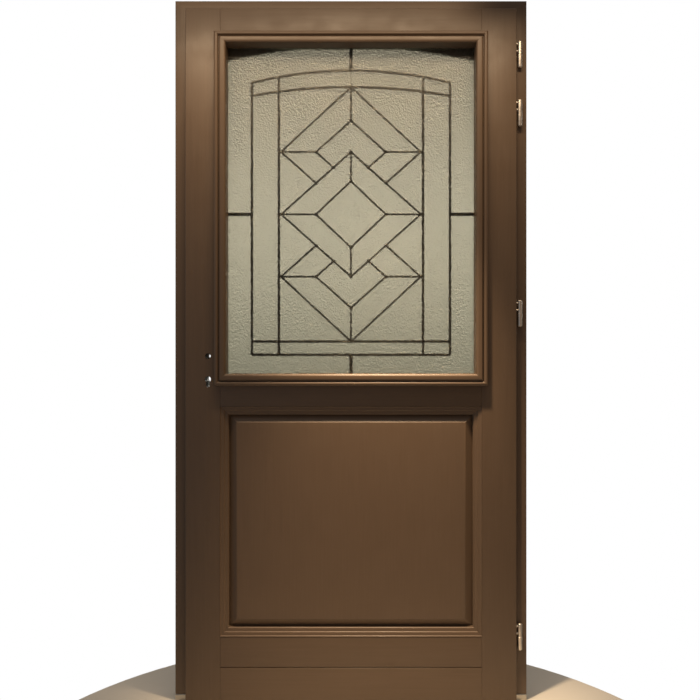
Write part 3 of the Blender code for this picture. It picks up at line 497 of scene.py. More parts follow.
def new_mesh(name, shapes):
    """One mesh of several (points, faces) shapes, its doubles merged and its faces turned outwards."""
    points, faces, first = [], [], 0
    for shape_points, shape_faces in shapes:
        points.append(shape_points)
        faces += [[first + corner for corner in face] for face in shape_faces]
        first += len(shape_points)
    mesh = bpy.data.meshes.new(name)
    mesh.from_pydata(np.concatenate(points).tolist(), [], faces)
    shape = bmesh.new()
    shape.from_mesh(mesh)
    bmesh.ops.remove_doubles(shape, verts=shape.verts, dist=MERGE_DISTANCE)
    bmesh.ops.dissolve_degenerate(shape, edges=shape.edges, dist=MERGE_DISTANCE)
    bmesh.ops.recalc_face_normals(shape, faces=shape.faces)
    shape.to_mesh(mesh)
    shape.free()
    return mesh


def new_piece(name, mesh, body, material, stands_for=()):
    """Links a finished mesh as a piece that rides on a body and stands for some solids."""
    mesh.materials.append(material)
    mesh.shade_smooth()
    mesh.set_sharp_from_angle(angle=SMOOTH_ANGLE)
    piece = bpy.data.objects.new(name, mesh)
    bpy.context.scene.collection.objects.link(piece)
    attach(piece, body)
    if stands_for:
        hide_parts(*stands_for)


def painted_piece(node, mesh, paint, body="leaf"):
    """A piece of painted timber that stands for its solid."""
    new_piece("painted_" + node, mesh, body, finish(paint), [node])


def carved(mesh, cutters):
    """The mesh with closed shapes cut out of it, one after the other."""
    target = bpy.data.objects.new(mesh.name, mesh)
    bpy.context.scene.collection.objects.link(target)
    helpers = []
    for shape in cutters:
        helper = bpy.data.objects.new("cutter", new_mesh("cutter", [shape]))
        bpy.context.scene.collection.objects.link(helper)
        helpers.append(helper)
        modifier = target.modifiers.new("cut", "BOOLEAN")
        modifier.operation = "DIFFERENCE"
        modifier.object = helper
    bpy.context.view_layer.update()
    graph = bpy.context.evaluated_depsgraph_get()
    result = bpy.data.meshes.new_from_object(target.evaluated_get(graph))
    result.materials.clear()
    for item in [target, *helpers]:
        bpy.data.objects.remove(item)
    return result


def round_arrises(mesh, width, chosen):
    """Rounds the sharp edges that the chosen test keeps; it takes an array of both ends of each edge."""
    shape = bmesh.new()
    shape.from_mesh(mesh)
    bmesh.ops.dissolve_limit(shape, angle_limit=FLAT_ANGLE, verts=shape.verts, edges=shape.edges)
    outer = [edge for edge in shape.edges if edge.is_manifold and edge.is_convex]
    sharp = [edge for edge in outer if edge.calc_face_angle() > SMOOTH_ANGLE]
    ends = np.array([[tuple(vert.co) for vert in edge.verts] for edge in sharp])
    kept = [edge for edge, keep in zip(sharp, chosen(ends)) if keep]
    bmesh.ops.bevel(shape, geom=kept, offset=width, segments=ARRIS_STEPS, profile=0.5, affect="EDGES")
    shape.to_mesh(mesh)
    shape.free()
    return mesh


def add_node(tree, kind, inputs=None, **properties):
    """Adds a node with its properties, and its inputs as plain values or linked from other sockets."""
    made = tree.nodes.new(kind)
    for key, value in properties.items():
        setattr(made, key, value)
    for key, value in (inputs or {}).items():
        if isinstance(value, bpy.types.NodeSocket):
            tree.links.new(value, made.inputs[key])
        else:
            made.inputs[key].default_value = value
    return made


def new_material(name, inputs):
    """A material with one Principled shader; inputs are its plain values. Gives the material and shader."""
    material = bpy.data.materials.new(name)
    material.use_nodes = True
    tree = material.node_tree
    tree.nodes.clear()
    shader = add_node(tree, "ShaderNodeBsdfPrincipled", inputs)
    add_node(tree, "ShaderNodeOutputMaterial", {"Surface": shader.outputs["BSDF"]})
    return material, shader


def vary(shader, blotch, detail=3.0, coarseness=0.5, colours=None, roughness=None, relief=0.0):
    """Lays one noise over a shader, with blotches of about (x, y, z) metres on object coordinates.

    Its values from 0.3 to 0.7 are stretched over the two colours and over the two roughnesses. Relief is the
    height in metres that its 0 to 1 stands for, on top of the relief that the shader has.
    """
    tree = shader.id_data
    place = add_node(tree, "ShaderNodeTexCoord").outputs["Object"]
    scale = tuple(1 / float(length) for length in np.broadcast_to(blotch, 3))
    scaled = add_node(tree, "ShaderNodeMapping", {"Vector": place, "Scale": scale}).outputs["Vector"]
    values = {"Vector": scaled, "Scale": 1.0, "Detail": detail, "Roughness": coarseness}
    noise = add_node(tree, "ShaderNodeTexNoise", values).outputs["Fac"]
    stretch = {"Value": noise, "From Min": 0.3, "From Max": 0.7}
    if colours:
        share = add_node(tree, "ShaderNodeMapRange", stretch).outputs["Result"]
        first, second = ((*colour, 1.0) for colour in colours)
        mix = add_node(tree, "ShaderNodeMix", {0: share, 6: first, 7: second}, data_type="RGBA")
        tree.links.new(mix.outputs[2], shader.inputs["Base Color"])
    if roughness:
        stretch.update({"To Min": roughness[0], "To Max": roughness[1]})
        rough = add_node(tree, "ShaderNodeMapRange", stretch)
        tree.links.new(rough.outputs["Result"], shader.inputs["Roughness"])
    if relief:
        normal = shader.inputs["Normal"]
        values = {"Height": noise, "Distance": relief, "Strength": 1.0}
        if normal.is_linked:
            values["Normal"] = normal.links[0].from_socket
        tree.links.new(add_node(tree, "ShaderNodeBump", values).outputs["Normal"], normal)


FINISHES = {}


def finish(name):
    """The named finish, made when it is first asked for."""
    if name not in FINISHES:
        FINISHES[name] = MAKERS[name]()
    return FINISHES[name]


def painted_timber(name, grain_axis):
    """Brushed satin paint over softwood: an even colour with faint streaks along the grain and soft glare."""
    look = bpy.context.scene.door_joinery
    material, shader = new_material(name, {"IOR": 1.5})
    streak = np.full(3, look.grain_width)
    streak[grain_axis] = look.grain_length
    gloss = (look.roughness - 0.05, look.roughness + 0.07)
    # Brush marks are six times as large as the grain, and patches of gloss are 70 mm
    vary(shader, 6 * streak, detail=2.0, relief=0.5 * MM)
    colours = (look.paint, look.worn_paint)
    vary(shader, streak, detail=5.0, coarseness=0.6, colours=colours, relief=0.12 * MM)
    vary(shader, 70 * MM, detail=2.0, roughness=gloss)
    return material


def nickel_plate():
    """Polished nickel plate on steel: a warm bright mirror with a slight cloud of handling marks."""
    colour = (*bpy.context.scene.door_hardware.nickel, 1.0)
    material, shader = new_material("bright_nickel_plate", {"Metallic": 1.0, "Base Color": colour})
    vary(shader, 9 * MM, roughness=(0.34, 0.46))
    return material


def brushed_steel():
    """Zinc plated steel, brushed upright: a grey sheen drawn out along the brushing."""
    steel = bpy.context.scene.door_hardware.steel
    material, shader = new_material("brushed_zinc_plated_steel", {"Metallic": 1.0})
    look = {"colours": (shade(steel, 0.75), steel), "roughness": (0.28, 0.45), "relief": 0.02 * MM}
    vary(shader, (0.6 * MM, 0.6 * MM, 30 * MM), detail=2.0, **look)
    return material


def anodised_aluminium():
    """Extruded and anodised aluminium: a pale matt metal with die lines along its length."""
    metal = bpy.context.scene.door_hardware.aluminium
    material, shader = new_material("anodised_aluminium", {"Metallic": 1.0})
    look = {"colours": (shade(metal, 0.8), metal), "roughness": (0.36, 0.5)}
    vary(shader, (200 * MM, 0.8 * MM, 0.8 * MM), detail=2.0, **look)
    return material


def mill_aluminium():
    """Rolled spacer aluminium without a finish: dull grey, slightly cloudy."""
    metal = bpy.context.scene.door_hardware.spacer
    material, shader = new_material("mill_finish_aluminium", {"Metallic": 1.0})
    vary(shader, 6 * MM, colours=(shade(metal, 0.7), metal), roughness=(0.4, 0.6))
    return material


def gasket_rubber():
    """Extruded rubber: near black and matt, with a faint grey bloom."""
    rubber = bpy.context.scene.door_hardware.rubber
    material, shader = new_material("extruded_rubber", {"IOR": 1.5})
    vary(shader, 12 * MM, colours=(rubber, shade(rubber, 2.2)), roughness=(0.6, 0.8))
    return material


def dull_lead():
    """Lead came with tinned joints: a dull dark grey with paler rubbed spots."""
    lead = bpy.context.scene.door_glazing.lead
    material, shader = new_material("tinned_lead_came", {"Metallic": 0.6})
    look = {"colours": (lead, shade(lead, 1.8)), "roughness": (0.45, 0.65), "relief": 0.2 * MM}
    vary(shader, 8 * MM, detail=4.0, **look)
    return material


def grained_glass():
    """Cast glass with a fine granular face: it glitters under the light and softens what stands behind it.

    A real grain is taken to be about 2 mm; it is drawn coarser so that it shows from two metres. The
    refraction is lower than that of glass, which weakens the mirror image of the lamps.
    """
    look = bpy.context.scene.door_glazing
    values = {"Base Color": (*look.ornament, 1.0), "Roughness": look.ornament_roughness, "IOR": 1.36}
    values["Transmission Weight"] = look.ornament_clarity
    material, shader = new_material("granular_cast_glass", values)
    vary(shader, look.grain_size, detail=1.0, relief=look.grain_height)
    return material


def satin_glass():
    """Acid etched glass: pale and evenly misted, it lets light through and hides what is outside."""
    tint = (*bpy.context.scene.door_glazing.rear, 1.0)
    values = {"Base Color": tint, "Roughness": 0.35, "IOR": 1.5, "Transmission Weight": 0.99}
    material, shader = new_material("acid_etched_glass", values)
    vary(shader, 3 * MM, detail=2.0, relief=0.05 * MM)
    return material


MAKERS = {
    "upright_paint": lambda: painted_timber("satin_paint_on_upright_timber", Z),
    "level_paint": lambda: painted_timber("satin_paint_on_level_timber", X),
    "nickel": nickel_plate,
    "steel": brushed_steel,
    "threshold": anodised_aluminium,
    "spacer": mill_aluminium,
    "rubber": gasket_rubber,
    "lead": dull_lead,
    "ornament": grained_glass,
    "satin": satin_glass,
}


def refinish(node, name):
    """Gives a solid that stays a better finish."""
    for slot in frame["nodes"][node].material_slots:
        slot.material = finish(name)


RING_SIDES = ("bottom", "hinge_side", "top", "lock_side")


def ring_corners(half, foot, top):
    """Corners of an upright rectangle, anticlockwise seen from the inside, from the lower lock side."""
    return np.array([(-half, foot), (half, foot), (half, top), (-half, top)])


def ring_of_bars(prefix, section, half, foot, top, slopes=None):
    """Four mitred bars round an opening, or those that have slopes, each for the solid of its side."""
    ring = ring_corners(half, foot, top)
    slopes = slopes or dict.fromkeys(RING_SIDES, (1.0, 1.0))
    for index, side in enumerate(RING_SIDES):
        if side not in slopes:
            continue
        start, end = ring[index], ring[(index + 1) % len(ring)]
        gap = unit(end - start) * PAINT_GAP
        shape = swept(section, [start + gap, end - gap], slopes=slopes[side])
        node = prefix + "_" + side
        paint = "level_paint" if side in ("bottom", "top") else "upright_paint"
        painted_piece(node, new_mesh(node, [shape]), paint)


def frame_section(showing, stop):
    """Face, rebate, shoulder and stop of a jamb or the head, its arrises rounded; and the rebate's place."""
    arris = bpy.context.scene.door_joinery.frame_arris
    rebate = showing + LIP_OVERLAP - REBATE_GAP
    outline = [(0, FRAME_FACE), (rebate, FRAME_FACE), (rebate, SHOULDER)]
    outline += [(stop, SHOULDER), (stop, FRAME_BACK), (0, FRAME_BACK)]
    return rounded(outline, [arris / 2, arris, arris / 4, arris / 2, arris, arris / 2]), rebate


def strike_recesses():
    """The bed of the strike plate and the two pockets behind it."""
    bed = block(STRIKE_LOW - BED_GAP, STRIKE_HIGH + (FACEPLATE_THICKNESS, BED_GAP, BED_GAP))
    pockets = [
        block(np.array(o["box_m"][0]) - (POCKET_OVERLAP, 0, 0), o["box_m"][1])
        for o in frame["record"]["physics"]["openings"]
        if o["name"] in ("latch_pocket", "bolt_pocket")
    ]
    return [bed, *pockets]


class DOOR_OT_frame(Operator):
    """Builds both jambs and the head."""

    bl_idname = "door.frame"
    bl_label = "Frame"

    def execute(self, context):
        jamb, jamb_rebate = frame_section(FRAME_HALF - LIP_HALF, FRAME_HALF - STOP_HALF)
        head, head_rebate = frame_section(FRAME_TOP - LIP_TOP, FRAME_TOP - HEAD_LOW[Z])
        slope = head_rebate / jamb_rebate
        lock_foot, hinge_foot, hinge_top, lock_top = ring_corners(FRAME_HALF, JAMB_LOW[Z], FRAME_TOP)
        bars = {
            "jamb_hinge_side": (jamb, (hinge_foot, hinge_top), (0.0, slope), "upright_paint"),
            "frame_head": (head, (hinge_top, lock_top), (1 / slope, 1 / slope), "level_paint"),
            "jamb_lock_side": (jamb, (lock_top, lock_foot), (slope, 0.0), "upright_paint"),
        }
        for node, (section, path, slopes, paint) in bars.items():
            mesh = new_mesh(node, [swept(section, path, slopes=slopes)])
            if node == "jamb_lock_side":
                mesh = carved(mesh, strike_recesses())
            painted_piece(node, mesh, paint, "frame")
        return {"FINISHED"}


class DOOR_OT_threshold(Operator):
    """Builds the threshold with its rib, and the gasket round the rebate."""

    bl_idname = "door.threshold"
    bl_label = "Threshold and gasket"

    def execute(self, context):
        front, back = SILL_LOW[Y], SILL_HIGH[Y]
        grooves = np.arange(front + 2 * SILL_NOSE, SHOULDER - SILL_GROOVE_PITCH, SILL_GROOVE_PITCH)
        ridges = [
            (SILL_TOP - SILL_GROOVE_DEPTH * down, y + shift * SILL_GROOVE_PITCH)
            for y in grooves
            for down, shift in SILL_GROOVE
        ]
        outline = [(0, front), (SILL_TOP - SILL_NOSE, front), (SILL_TOP, front + SILL_NOSE), *ridges]
        outline += [(SILL_TOP, back), (0, back)]
        half = SILL_HIGH[X]
        base = swept(outline, [(-half, 0), (half, 0)])
        half = STOP_HALF - RIB_GAP
        root, rib_back = SILL_TOP - MM, SHOULDER + RIB_THICKNESS
        outline = [(root, SHOULDER), (SILL_HIGH[Z], SHOULDER), (SILL_HIGH[Z], rib_back), (root, rib_back)]
        section = rounded(outline, [MM / 10, RIB_ROUNDING, RIB_ROUNDING, MM / 10])
        mesh = new_mesh("threshold", [base, swept(section, [(-half, 0), (half, 0)])])
        material = finish("threshold")
        new_piece("extruded_threshold", mesh, "frame", material, ["threshold"])
        self.gasket()
        return {"FINISHED"}

    def gasket(self):
        """A half round bulb on a flat base, carried up one jamb, across the head and down the other."""
        outer, top, foot = GASKET_HIGH[X], GASKET_HIGH[Z], GASKET_LOW[Z]
        front, back = GASKET_LOW[Y], GASKET_HIGH[Y]
        base = front + MM
        start, crest, end = GASKET_BULB
        section = [(0, back), (0, base), (start, base)]
        section += [*quarter((start, base), (crest, front), True, BULB_STEPS)]
        section += [*quarter((crest, front), (end, base), False, BULB_STEPS)]
        section += [(GASKET_WIDTH, base), (GASKET_WIDTH, back)]
        path = [(outer, foot), (outer, top), (-outer, top), (-outer, foot)]
        mesh = new_mesh("frame_gasket", [swept(section, path)])
        material = finish("rubber")
        new_piece("rubber_frame_gasket", mesh, "frame", material, ["frame_gasket"])


def near(values, place):
    return np.abs(values - place) < NEAR


def on_outside(ends):
    """True for front edges that run along the leaf's own outline, at its sides, top or foot."""
    outline = [near(np.abs(ends[..., X]), LIP_HALF)]
    outline += [near(ends[..., Z], height) for height in (LIP_TOP, LIP_FOOT)]
    along = np.any([both.all(axis=1) for both in outline], axis=0)
    return near(ends[..., Y], LEAF_FRONT).all(axis=1) & along


def at_rail_end(ends):
    """True for the front edges of a rail's two ends."""
    upright = near(ends[:, 0, X], ends[:, 1, X]) & near(np.abs(ends[:, 0, X]), OPENING_HALF)
    return near(ends[..., Y], LEAF_FRONT).all(axis=1) & upright


def lock_borings():
    """Spindle hole, keyhole shaped cylinder hole, mortise and the faceplate's bed in the lock stile."""
    front, back = LEAF_FRONT - CUT_OVERSHOOT, LEAF_BACK + CUT_OVERSHOOT
    x, y, z = FOLLOWER
    low_z = z - CYLINDER_BELOW_SPINDLE
    slot = CYLINDER_SLOT_WIDTH / 2
    slot_foot = low_z + CYLINDER_HOLE_RADIUS - CYLINDER_HOLE_HEIGHT + slot
    holes = ((z, SPINDLE_HOLE_RADIUS), (low_z, CYLINDER_HOLE_RADIUS), (slot_foot, slot))
    half = CASE_HALF + CASE_GAP
    case_low = (-BODY_HALF + MM, y - half, z - CASE_BELOW_SPINDLE - CASE_GAP)
    case_high = (LOCK_HIGH[X] + CASE_GAP, y + half, z + CASE_ABOVE_SPINDLE + CASE_GAP)
    plate_low = (-BODY_HALF - MM, LOCK_LOW[Y] - BED_GAP, LOCK_LOW[Z] - BED_GAP)
    plate_back = -BODY_HALF + FACEPLATE_THICKNESS + BED_GAP
    plate_high = (plate_back, LOCK_HIGH[Y] + BED_GAP, LOCK_HIGH[Z] + BED_GAP)
    return [
        *(rod((x, front, height), (x, back, height), radius, ROUND_SIDES) for height, radius in holes),
        block((x - slot, front - MM, slot_foot), (x + slot, back + MM, low_z)),
        block(case_low, case_high),
        block(plate_low, plate_high),
    ]


class DOOR_OT_leaf_timbers(Operator):
    """Builds the leaf's two stiles and four rails."""

    bl_idname = "door.leaf_timbers"
    bl_label = "Leaf timbers"

    def execute(self, context):
        arris = context.scene.door_joinery.arris
        self.stile("stile_lock_side", -1, arris)
        self.stile("stile_hinge_side", 1, arris)
        self.rails(arris)
        return {"FINISHED"}

    def stile(self, node, side, arris):
        """A lipped stile: its profile carried upwards, then rebated at top and foot and bored."""
        width = LIP_HALF - OPENING_HALF
        section = [(0, LIP_BACK), (0, LEAF_FRONT), (width, LEAF_FRONT), (width, LEAF_BACK)]
        section += [(LIP_OVERLAP, LEAF_BACK), (LIP_OVERLAP, LIP_BACK)]
        path = [(side * LIP_HALF, LIP_FOOT), (side * LIP_HALF, LIP_TOP)]
        mesh = new_mesh(node, [swept(section, path[::side])])
        reach, deep = FRAME_HALF, 2 * FRAME_BACK
        rebates = [
            block((-reach, LIP_BACK, BODY_TOP), (reach, deep, FRAME_TOP)),
            block((-reach, LIP_BACK, -BODY_FOOT), (reach, deep, BODY_FOOT)),
        ]
        mesh = round_arrises(carved(mesh, rebates), arris, on_outside)
        if side < 0:
            mesh = carved(mesh, lock_borings())
        painted_piece(node, mesh, "upright_paint")

    def rails(self, arris):
        """Four rails: each profile (z, y) carried from stile to stile."""
        half = OPENING_HALF - PAINT_GAP
        top = [(GLASS_OPENING_TOP, LEAF_FRONT), (LIP_TOP, LEAF_FRONT), (LIP_TOP, LIP_BACK)]
        top += [(BODY_TOP, LIP_BACK), (BODY_TOP, LEAF_BACK), (GLASS_OPENING_TOP, LEAF_BACK)]
        lock = [(PANEL_OPENING_TOP, LEAF_FRONT), (GLASS_OPENING_FOOT, LEAF_FRONT)]
        lock += [(GLASS_OPENING_FOOT, LEAF_BACK), (PANEL_OPENING_TOP, LEAF_BACK)]
        joint = RAIL_JOINT + RAIL_JOINT_GAP
        upper = [(joint, LEAF_FRONT + JOINT_DEPTH), (joint + RAIL_CHAMFER, LEAF_FRONT)]
        upper += [(PANEL_OPENING_FOOT, LEAF_FRONT), (PANEL_OPENING_FOOT, LEAF_BACK), (joint, LEAF_BACK)]
        lower = [(LIP_FOOT, LEAF_FRONT), (RAIL_JOINT - RAIL_CHAMFER, LEAF_FRONT)]
        lower += [(RAIL_JOINT, LEAF_FRONT + JOINT_DEPTH), (RAIL_JOINT, LEAF_BACK)]
        lower += [(BODY_FOOT, LEAF_BACK), (BODY_FOOT, LIP_BACK), (LIP_FOOT, LIP_BACK)]
        rails = {
            "top_rail": (top, [0, arris, 0, 0, 0, 0]),
            "lock_rail": (lock, 0),
            "upper_bottom_rail": (upper, RAIL_ARRIS),
            "lower_bottom_rail": (lower, [arris, RAIL_ARRIS, RAIL_ARRIS, 0, 0, 0, 0]),
        }
        for node, (outline, radii) in rails.items():
            mesh = new_mesh(node, [swept(rounded(outline, radii), [(-half, 0), (half, 0)])])
            painted_piece(node, round_arrises(mesh, JOINT_ARRIS, at_rail_end), "level_paint")


def glazing_section():
    """Bead, quirk, ovolo, flat and rounded sight edge over the leaf's face, square down to the glass."""
    face, glass = LEAF_FRONT - SEAT_GAP, PANE_LOW[Y] - SEAT_GAP
    crest = MOULDING_LOW[Y]
    quirk = crest + QUIRK_BELOW_CREST
    tongue = MOULDING_LAP + TONGUE_GAP
    bead = arc(BEAD_WIDTH / 2, 0, BEAD_RISE, ARC_STEPS) * (1, -1) + (BEAD_WIDTH / 2, crest + BEAD_BELOW_CREST)
    ovolo_start = (BEAD_WIDTH + QUIRK_WIDTH, quirk)
    ovolo = quarter(ovolo_start, (ovolo_start[0] + OVOLO_WIDTH, crest), True)
    sight_start = (MOULDING_WIDTH - SIGHT_ROUNDING, crest)
    sight = quarter(sight_start, (MOULDING_WIDTH, crest + SIGHT_ROUNDING), False)
    section = [(0, face), *bead, (BEAD_WIDTH, quirk), ovolo_start, *ovolo, sight_start, *sight]
    return [*section, (MOULDING_WIDTH, glass), (tongue, glass), (tongue, face)]


def outer_bead_section(width, front):
    """A square bead with its outside corner taken off and its arrises softened."""
    slant = [(width, LEAF_BACK - OUTER_BEAD_CHAMFER), (width - OUTER_BEAD_CHAMFER, LEAF_BACK)]
    outline = [(BAR_GAP, front), (width, front), *slant, (BAR_GAP, LEAF_BACK)]
    return rounded(outline, [0, MM / 2, MM, MM, MM / 2])


class DOOR_OT_glazing_mouldings(Operator):
    """Builds the mouldings inside the glass, and the beads and arched head piece outside it."""

    bl_idname = "door.glazing_mouldings"
    bl_label = "Glazing mouldings"

    def execute(self, context):
        inside = (MOULDING_HIGH[X], MOULDING_LOW[Z], MOULDING_TOP)
        ring_of_bars("glazing_moulding", glazing_section(), *inside)
        bead = outer_bead_section(OUTER_BEAD_WIDTH, OUTER_BEAD_FRONT)
        outside = (OPENING_HALF, GLASS_OPENING_FOOT, OUTER_BEAD_TOP)
        slopes = {"bottom": (1.0, 1.0), "hinge_side": (1.0, 0.0), "lock_side": (0.0, 1.0)}
        ring_of_bars("outer_bead", bead, *outside, slopes)
        self.arched_head()
        return {"FINISHED"}

    def arched_head(self):
        """Upright sections (z, y) across x: straight on top, an arc z = crown - r (1 - cos a) below."""
        side = ARCHED_HIGH[X]
        curve = arc(OPENING_HALF - OUTER_BEAD_WIDTH, GLASS_OPENING_TOP - ARCH_CROWN_DEPTH, ARCH_RISE)
        x = np.concatenate([[-side], curve[:, 0], [side]])
        foot = np.pad(curve[:, 1], 1, mode="edge")
        front, back = ARCHED_LOW[Y], LEAF_BACK
        top = np.full_like(x, ARCHED_HIGH[Z])
        heights = np.stack([top, foot, foot, foot + OUTER_BEAD_CHAMFER, top], axis=1)
        depths = np.array([front, front, back - OUTER_BEAD_CHAMFER, back, back])
        grid = (np.broadcast_to(x[:, None], heights.shape), np.broadcast_to(depths, heights.shape), heights)
        faces = grid_faces(*heights.shape, False, True) + end_faces(*heights.shape)
        mesh = new_mesh("arched_head_piece", [(np.stack(grid, axis=-1).reshape(-1, 3), faces)])
        painted_piece("arched_head_piece", mesh, "level_paint")


class DOOR_OT_glass_unit(Operator):
    """Builds the two panes and the spacer between them."""

    bl_idname = "door.glass_unit"
    bl_label = "Glass unit"

    def execute(self, context):
        panes = {
            "ornament_pane": ("ornament_glass", "ornament", PANE_LOW, PANE_HIGH),
            "rear_pane": ("rear_glass", "satin", REAR_LOW, REAR_HIGH),
        }
        for node, (slot, glass, low, high) in panes.items():
            section = rounded(rectangle(high[X] - low[X], low[Y], high[Y]), PANE_ARRIS, 3)
            shape = swept(section, [(high[X], low[Z]), (high[X], high[Z])])
            new_piece("glass_" + node, new_mesh(node, [shape]), "leaf", finish(glass), [node])
        outline = rectangle(SPACER_WIDTH, SPACER_LOW[Y], SPACER_HIGH[Y])
        section = rounded(outline, [MM, 2 * MM, 2 * MM, MM])
        ring = ring_corners(SPACER_HIGH[X], SPACER_LOW[Z], SPACER_HIGH[Z])
        mesh = new_mesh("glass_spacer", [swept(section, ring, closed_path=True)])
        material = finish("spacer")
        new_piece("aluminium_glass_spacer", mesh, "leaf", material, ["glass_spacer"])
        return {"FINISHED"}


def quarter_leads(apex):
    """The leads of the upper right quarter of the knots, as pairs of (x, z)."""
    reach = OPENING_HALF - LATTICE_SIDE_MARGIN - SIDE_BAND - KNOT_INSET
    pitch = KNOT_PITCH_SHARE * apex
    diamond = DIAMOND_SHARE * apex
    return [
        ((0, apex), (reach, pitch)),
        ((0, 1.5 * pitch), (reach / 2, pitch)),
        ((reach, pitch), (reach / 2, pitch)),
        ((reach / 2, pitch), (reach / 4, 0.75 * pitch)),
        ((reach, pitch), (reach / 2, pitch / 2)),
        ((reach, 0), (0, pitch)),
        ((reach, 0), (reach / 2, 0)),
        ((reach / 2, 0), (0, diamond)),
        ((0, 1.5 * pitch), (0, apex)),
        ((0, pitch), (0, diamond)),
    ]


class DOOR_OT_leaded_lattice(Operator):
    """Builds the lattice of lead cames between the panes."""

    bl_idname = "door.leaded_lattice"
    bl_label = "Leaded lattice"

    def execute(self, context):
        foot, crown = GLASS_OPENING_FOOT + LATTICE_FOOT_MARGIN, GLASS_OPENING_TOP - LATTICE_TOP_MARGIN
        inner_foot, inner_crown = foot + FOOT_BAND, crown - TOP_BAND
        middle, apex = (inner_foot + inner_crown) / 2, (inner_crown - inner_foot) / 2
        outer = OPENING_HALF - LATTICE_SIDE_MARGIN
        inner = outer - SIDE_BAND
        side_end = SPACER_HIGH[X] - SPACER_WIDTH
        top_end, foot_end = SPACER_HIGH[Z] - SPACER_WIDTH, SPACER_LOW[Z] + SPACER_WIDTH
        border, thin = came_section(BORDER_WIDTH), came_section(LEAD_WIDTH)
        stub = came_section(STUB_WIDTH, STUB_THICKNESS)
        shapes = [
            swept(border, arc(outer, crown, OUTER_ARC_RISE)),
            swept(border, arc(outer, inner_crown, INNER_ARC_RISE)),
            swept(stub, [(0, foot), (0, foot_end)]),
            swept(stub, [(0, crown), (0, top_end)]),
            swept(came_section(LEAD_WIDTH / 2), [(0, inner_crown), (0, crown)]),
        ]
        shapes += [swept(border, [(-outer, z), (outer, z)]) for z in (foot, inner_foot)]
        for side in (-1, 1):
            shapes.append(swept(border, [(side * outer, foot), (side * outer, crown - OUTER_ARC_RISE)]))
            shapes.append(swept(border, [(side * inner, foot), (side * inner, crown - OUTER_ARC_RISE / 2)]))
            shapes.append(swept(stub, [(side * outer, middle), (side * side_end, middle)]))
        leads = {
            tuple(sorted((across * x + 0.0, middle + up * z) for x, z in ends))
            for across in (1, -1)
            for up in (1, -1)
            for ends in quarter_leads(apex)
        }
        shapes += [swept(thin, ends) for ends in sorted(leads)]
        knots = {tuple(np.round(point, 6)) for ends in leads for point in ends}
        shapes += [drop((x, LATTICE_MIDDLE, z), SOLDER_RADIUS, STUB_THICKNESS) for x, z in sorted(knots)]
        mesh = new_mesh("leaded_lattice", shapes)
        new_piece("lead_lattice", mesh, "leaf", finish("lead"), ["leaded_lattice"])
        return {"FINISHED"}


def panel_moulding_section(crest, back):
    """Three small round coves from the outer edge inwards, with a flat fillet between each and the next."""
    width = PANEL_MOULDING_WIDTH - BAR_GAP
    pitch = (width - PANEL_COVE_WIDTH) / (PANEL_MOULDING_STEPS - 1)
    step_fall = PANEL_MOULDING_FALL / PANEL_MOULDING_STEPS
    points = []
    for step in range(PANEL_MOULDING_STEPS):
        start = (max(step * pitch, BAR_GAP), crest + step * step_fall)
        cove_end = (step * pitch + PANEL_COVE_WIDTH, start[1] + step_fall - PANEL_FILLET_FALL)
        points += [start, *quarter(start, cove_end, True, COVE_STEPS)]
    return [*points, (width, back), (BAR_GAP, back)]


class DOOR_OT_raised_panel(Operator):
    """Builds the raised and fielded panel with its mouldings on both sides."""

    bl_idname = "door.raised_panel"
    bl_label = "Raised panel"

    def execute(self, context):
        field, margin = PANEL_LOW[Y], PANEL_LOW[Y] + PANEL_RAISE
        bevel_end = PANEL_MARGIN + PANEL_BEVEL
        profile = [(0, PANEL_HIGH[Y]), (0, margin), (PANEL_MARGIN, margin), (bevel_end, field)]
        profile.append((bevel_end + PANEL_FIELD_BORDER, field))
        soft = rounded(profile, [0, 0, MM, 1.5 * MM, 0])
        ring = ring_corners(PANEL_HIGH[X], PANEL_LOW[Z], PANEL_HIGH[Z])
        points, _ = swept(soft, ring, closed_path=True)
        columns = len(soft)
        first = [row * columns for row in range(len(ring))]
        faces = grid_faces(len(ring), columns, True, False)
        faces += [first, [corner + columns - 1 for corner in first]]
        painted_piece("raised_panel", new_mesh("raised_panel", [(points, faces)]), "upright_paint")
        opening = (OPENING_HALF, PANEL_OPENING_FOOT, PANEL_OPENING_TOP)
        stepped = panel_moulding_section(PANEL_BAR_LOW[Y], PANEL_BAR_HIGH[Y])
        ring_of_bars("panel_moulding", stepped, *opening)
        plain = outer_bead_section(OUTER_PANEL_BEAD_WIDTH, OUTER_BAR_FRONT)
        ring_of_bars("outer_panel_moulding", plain, *opening)
        return {"FINISHED"}


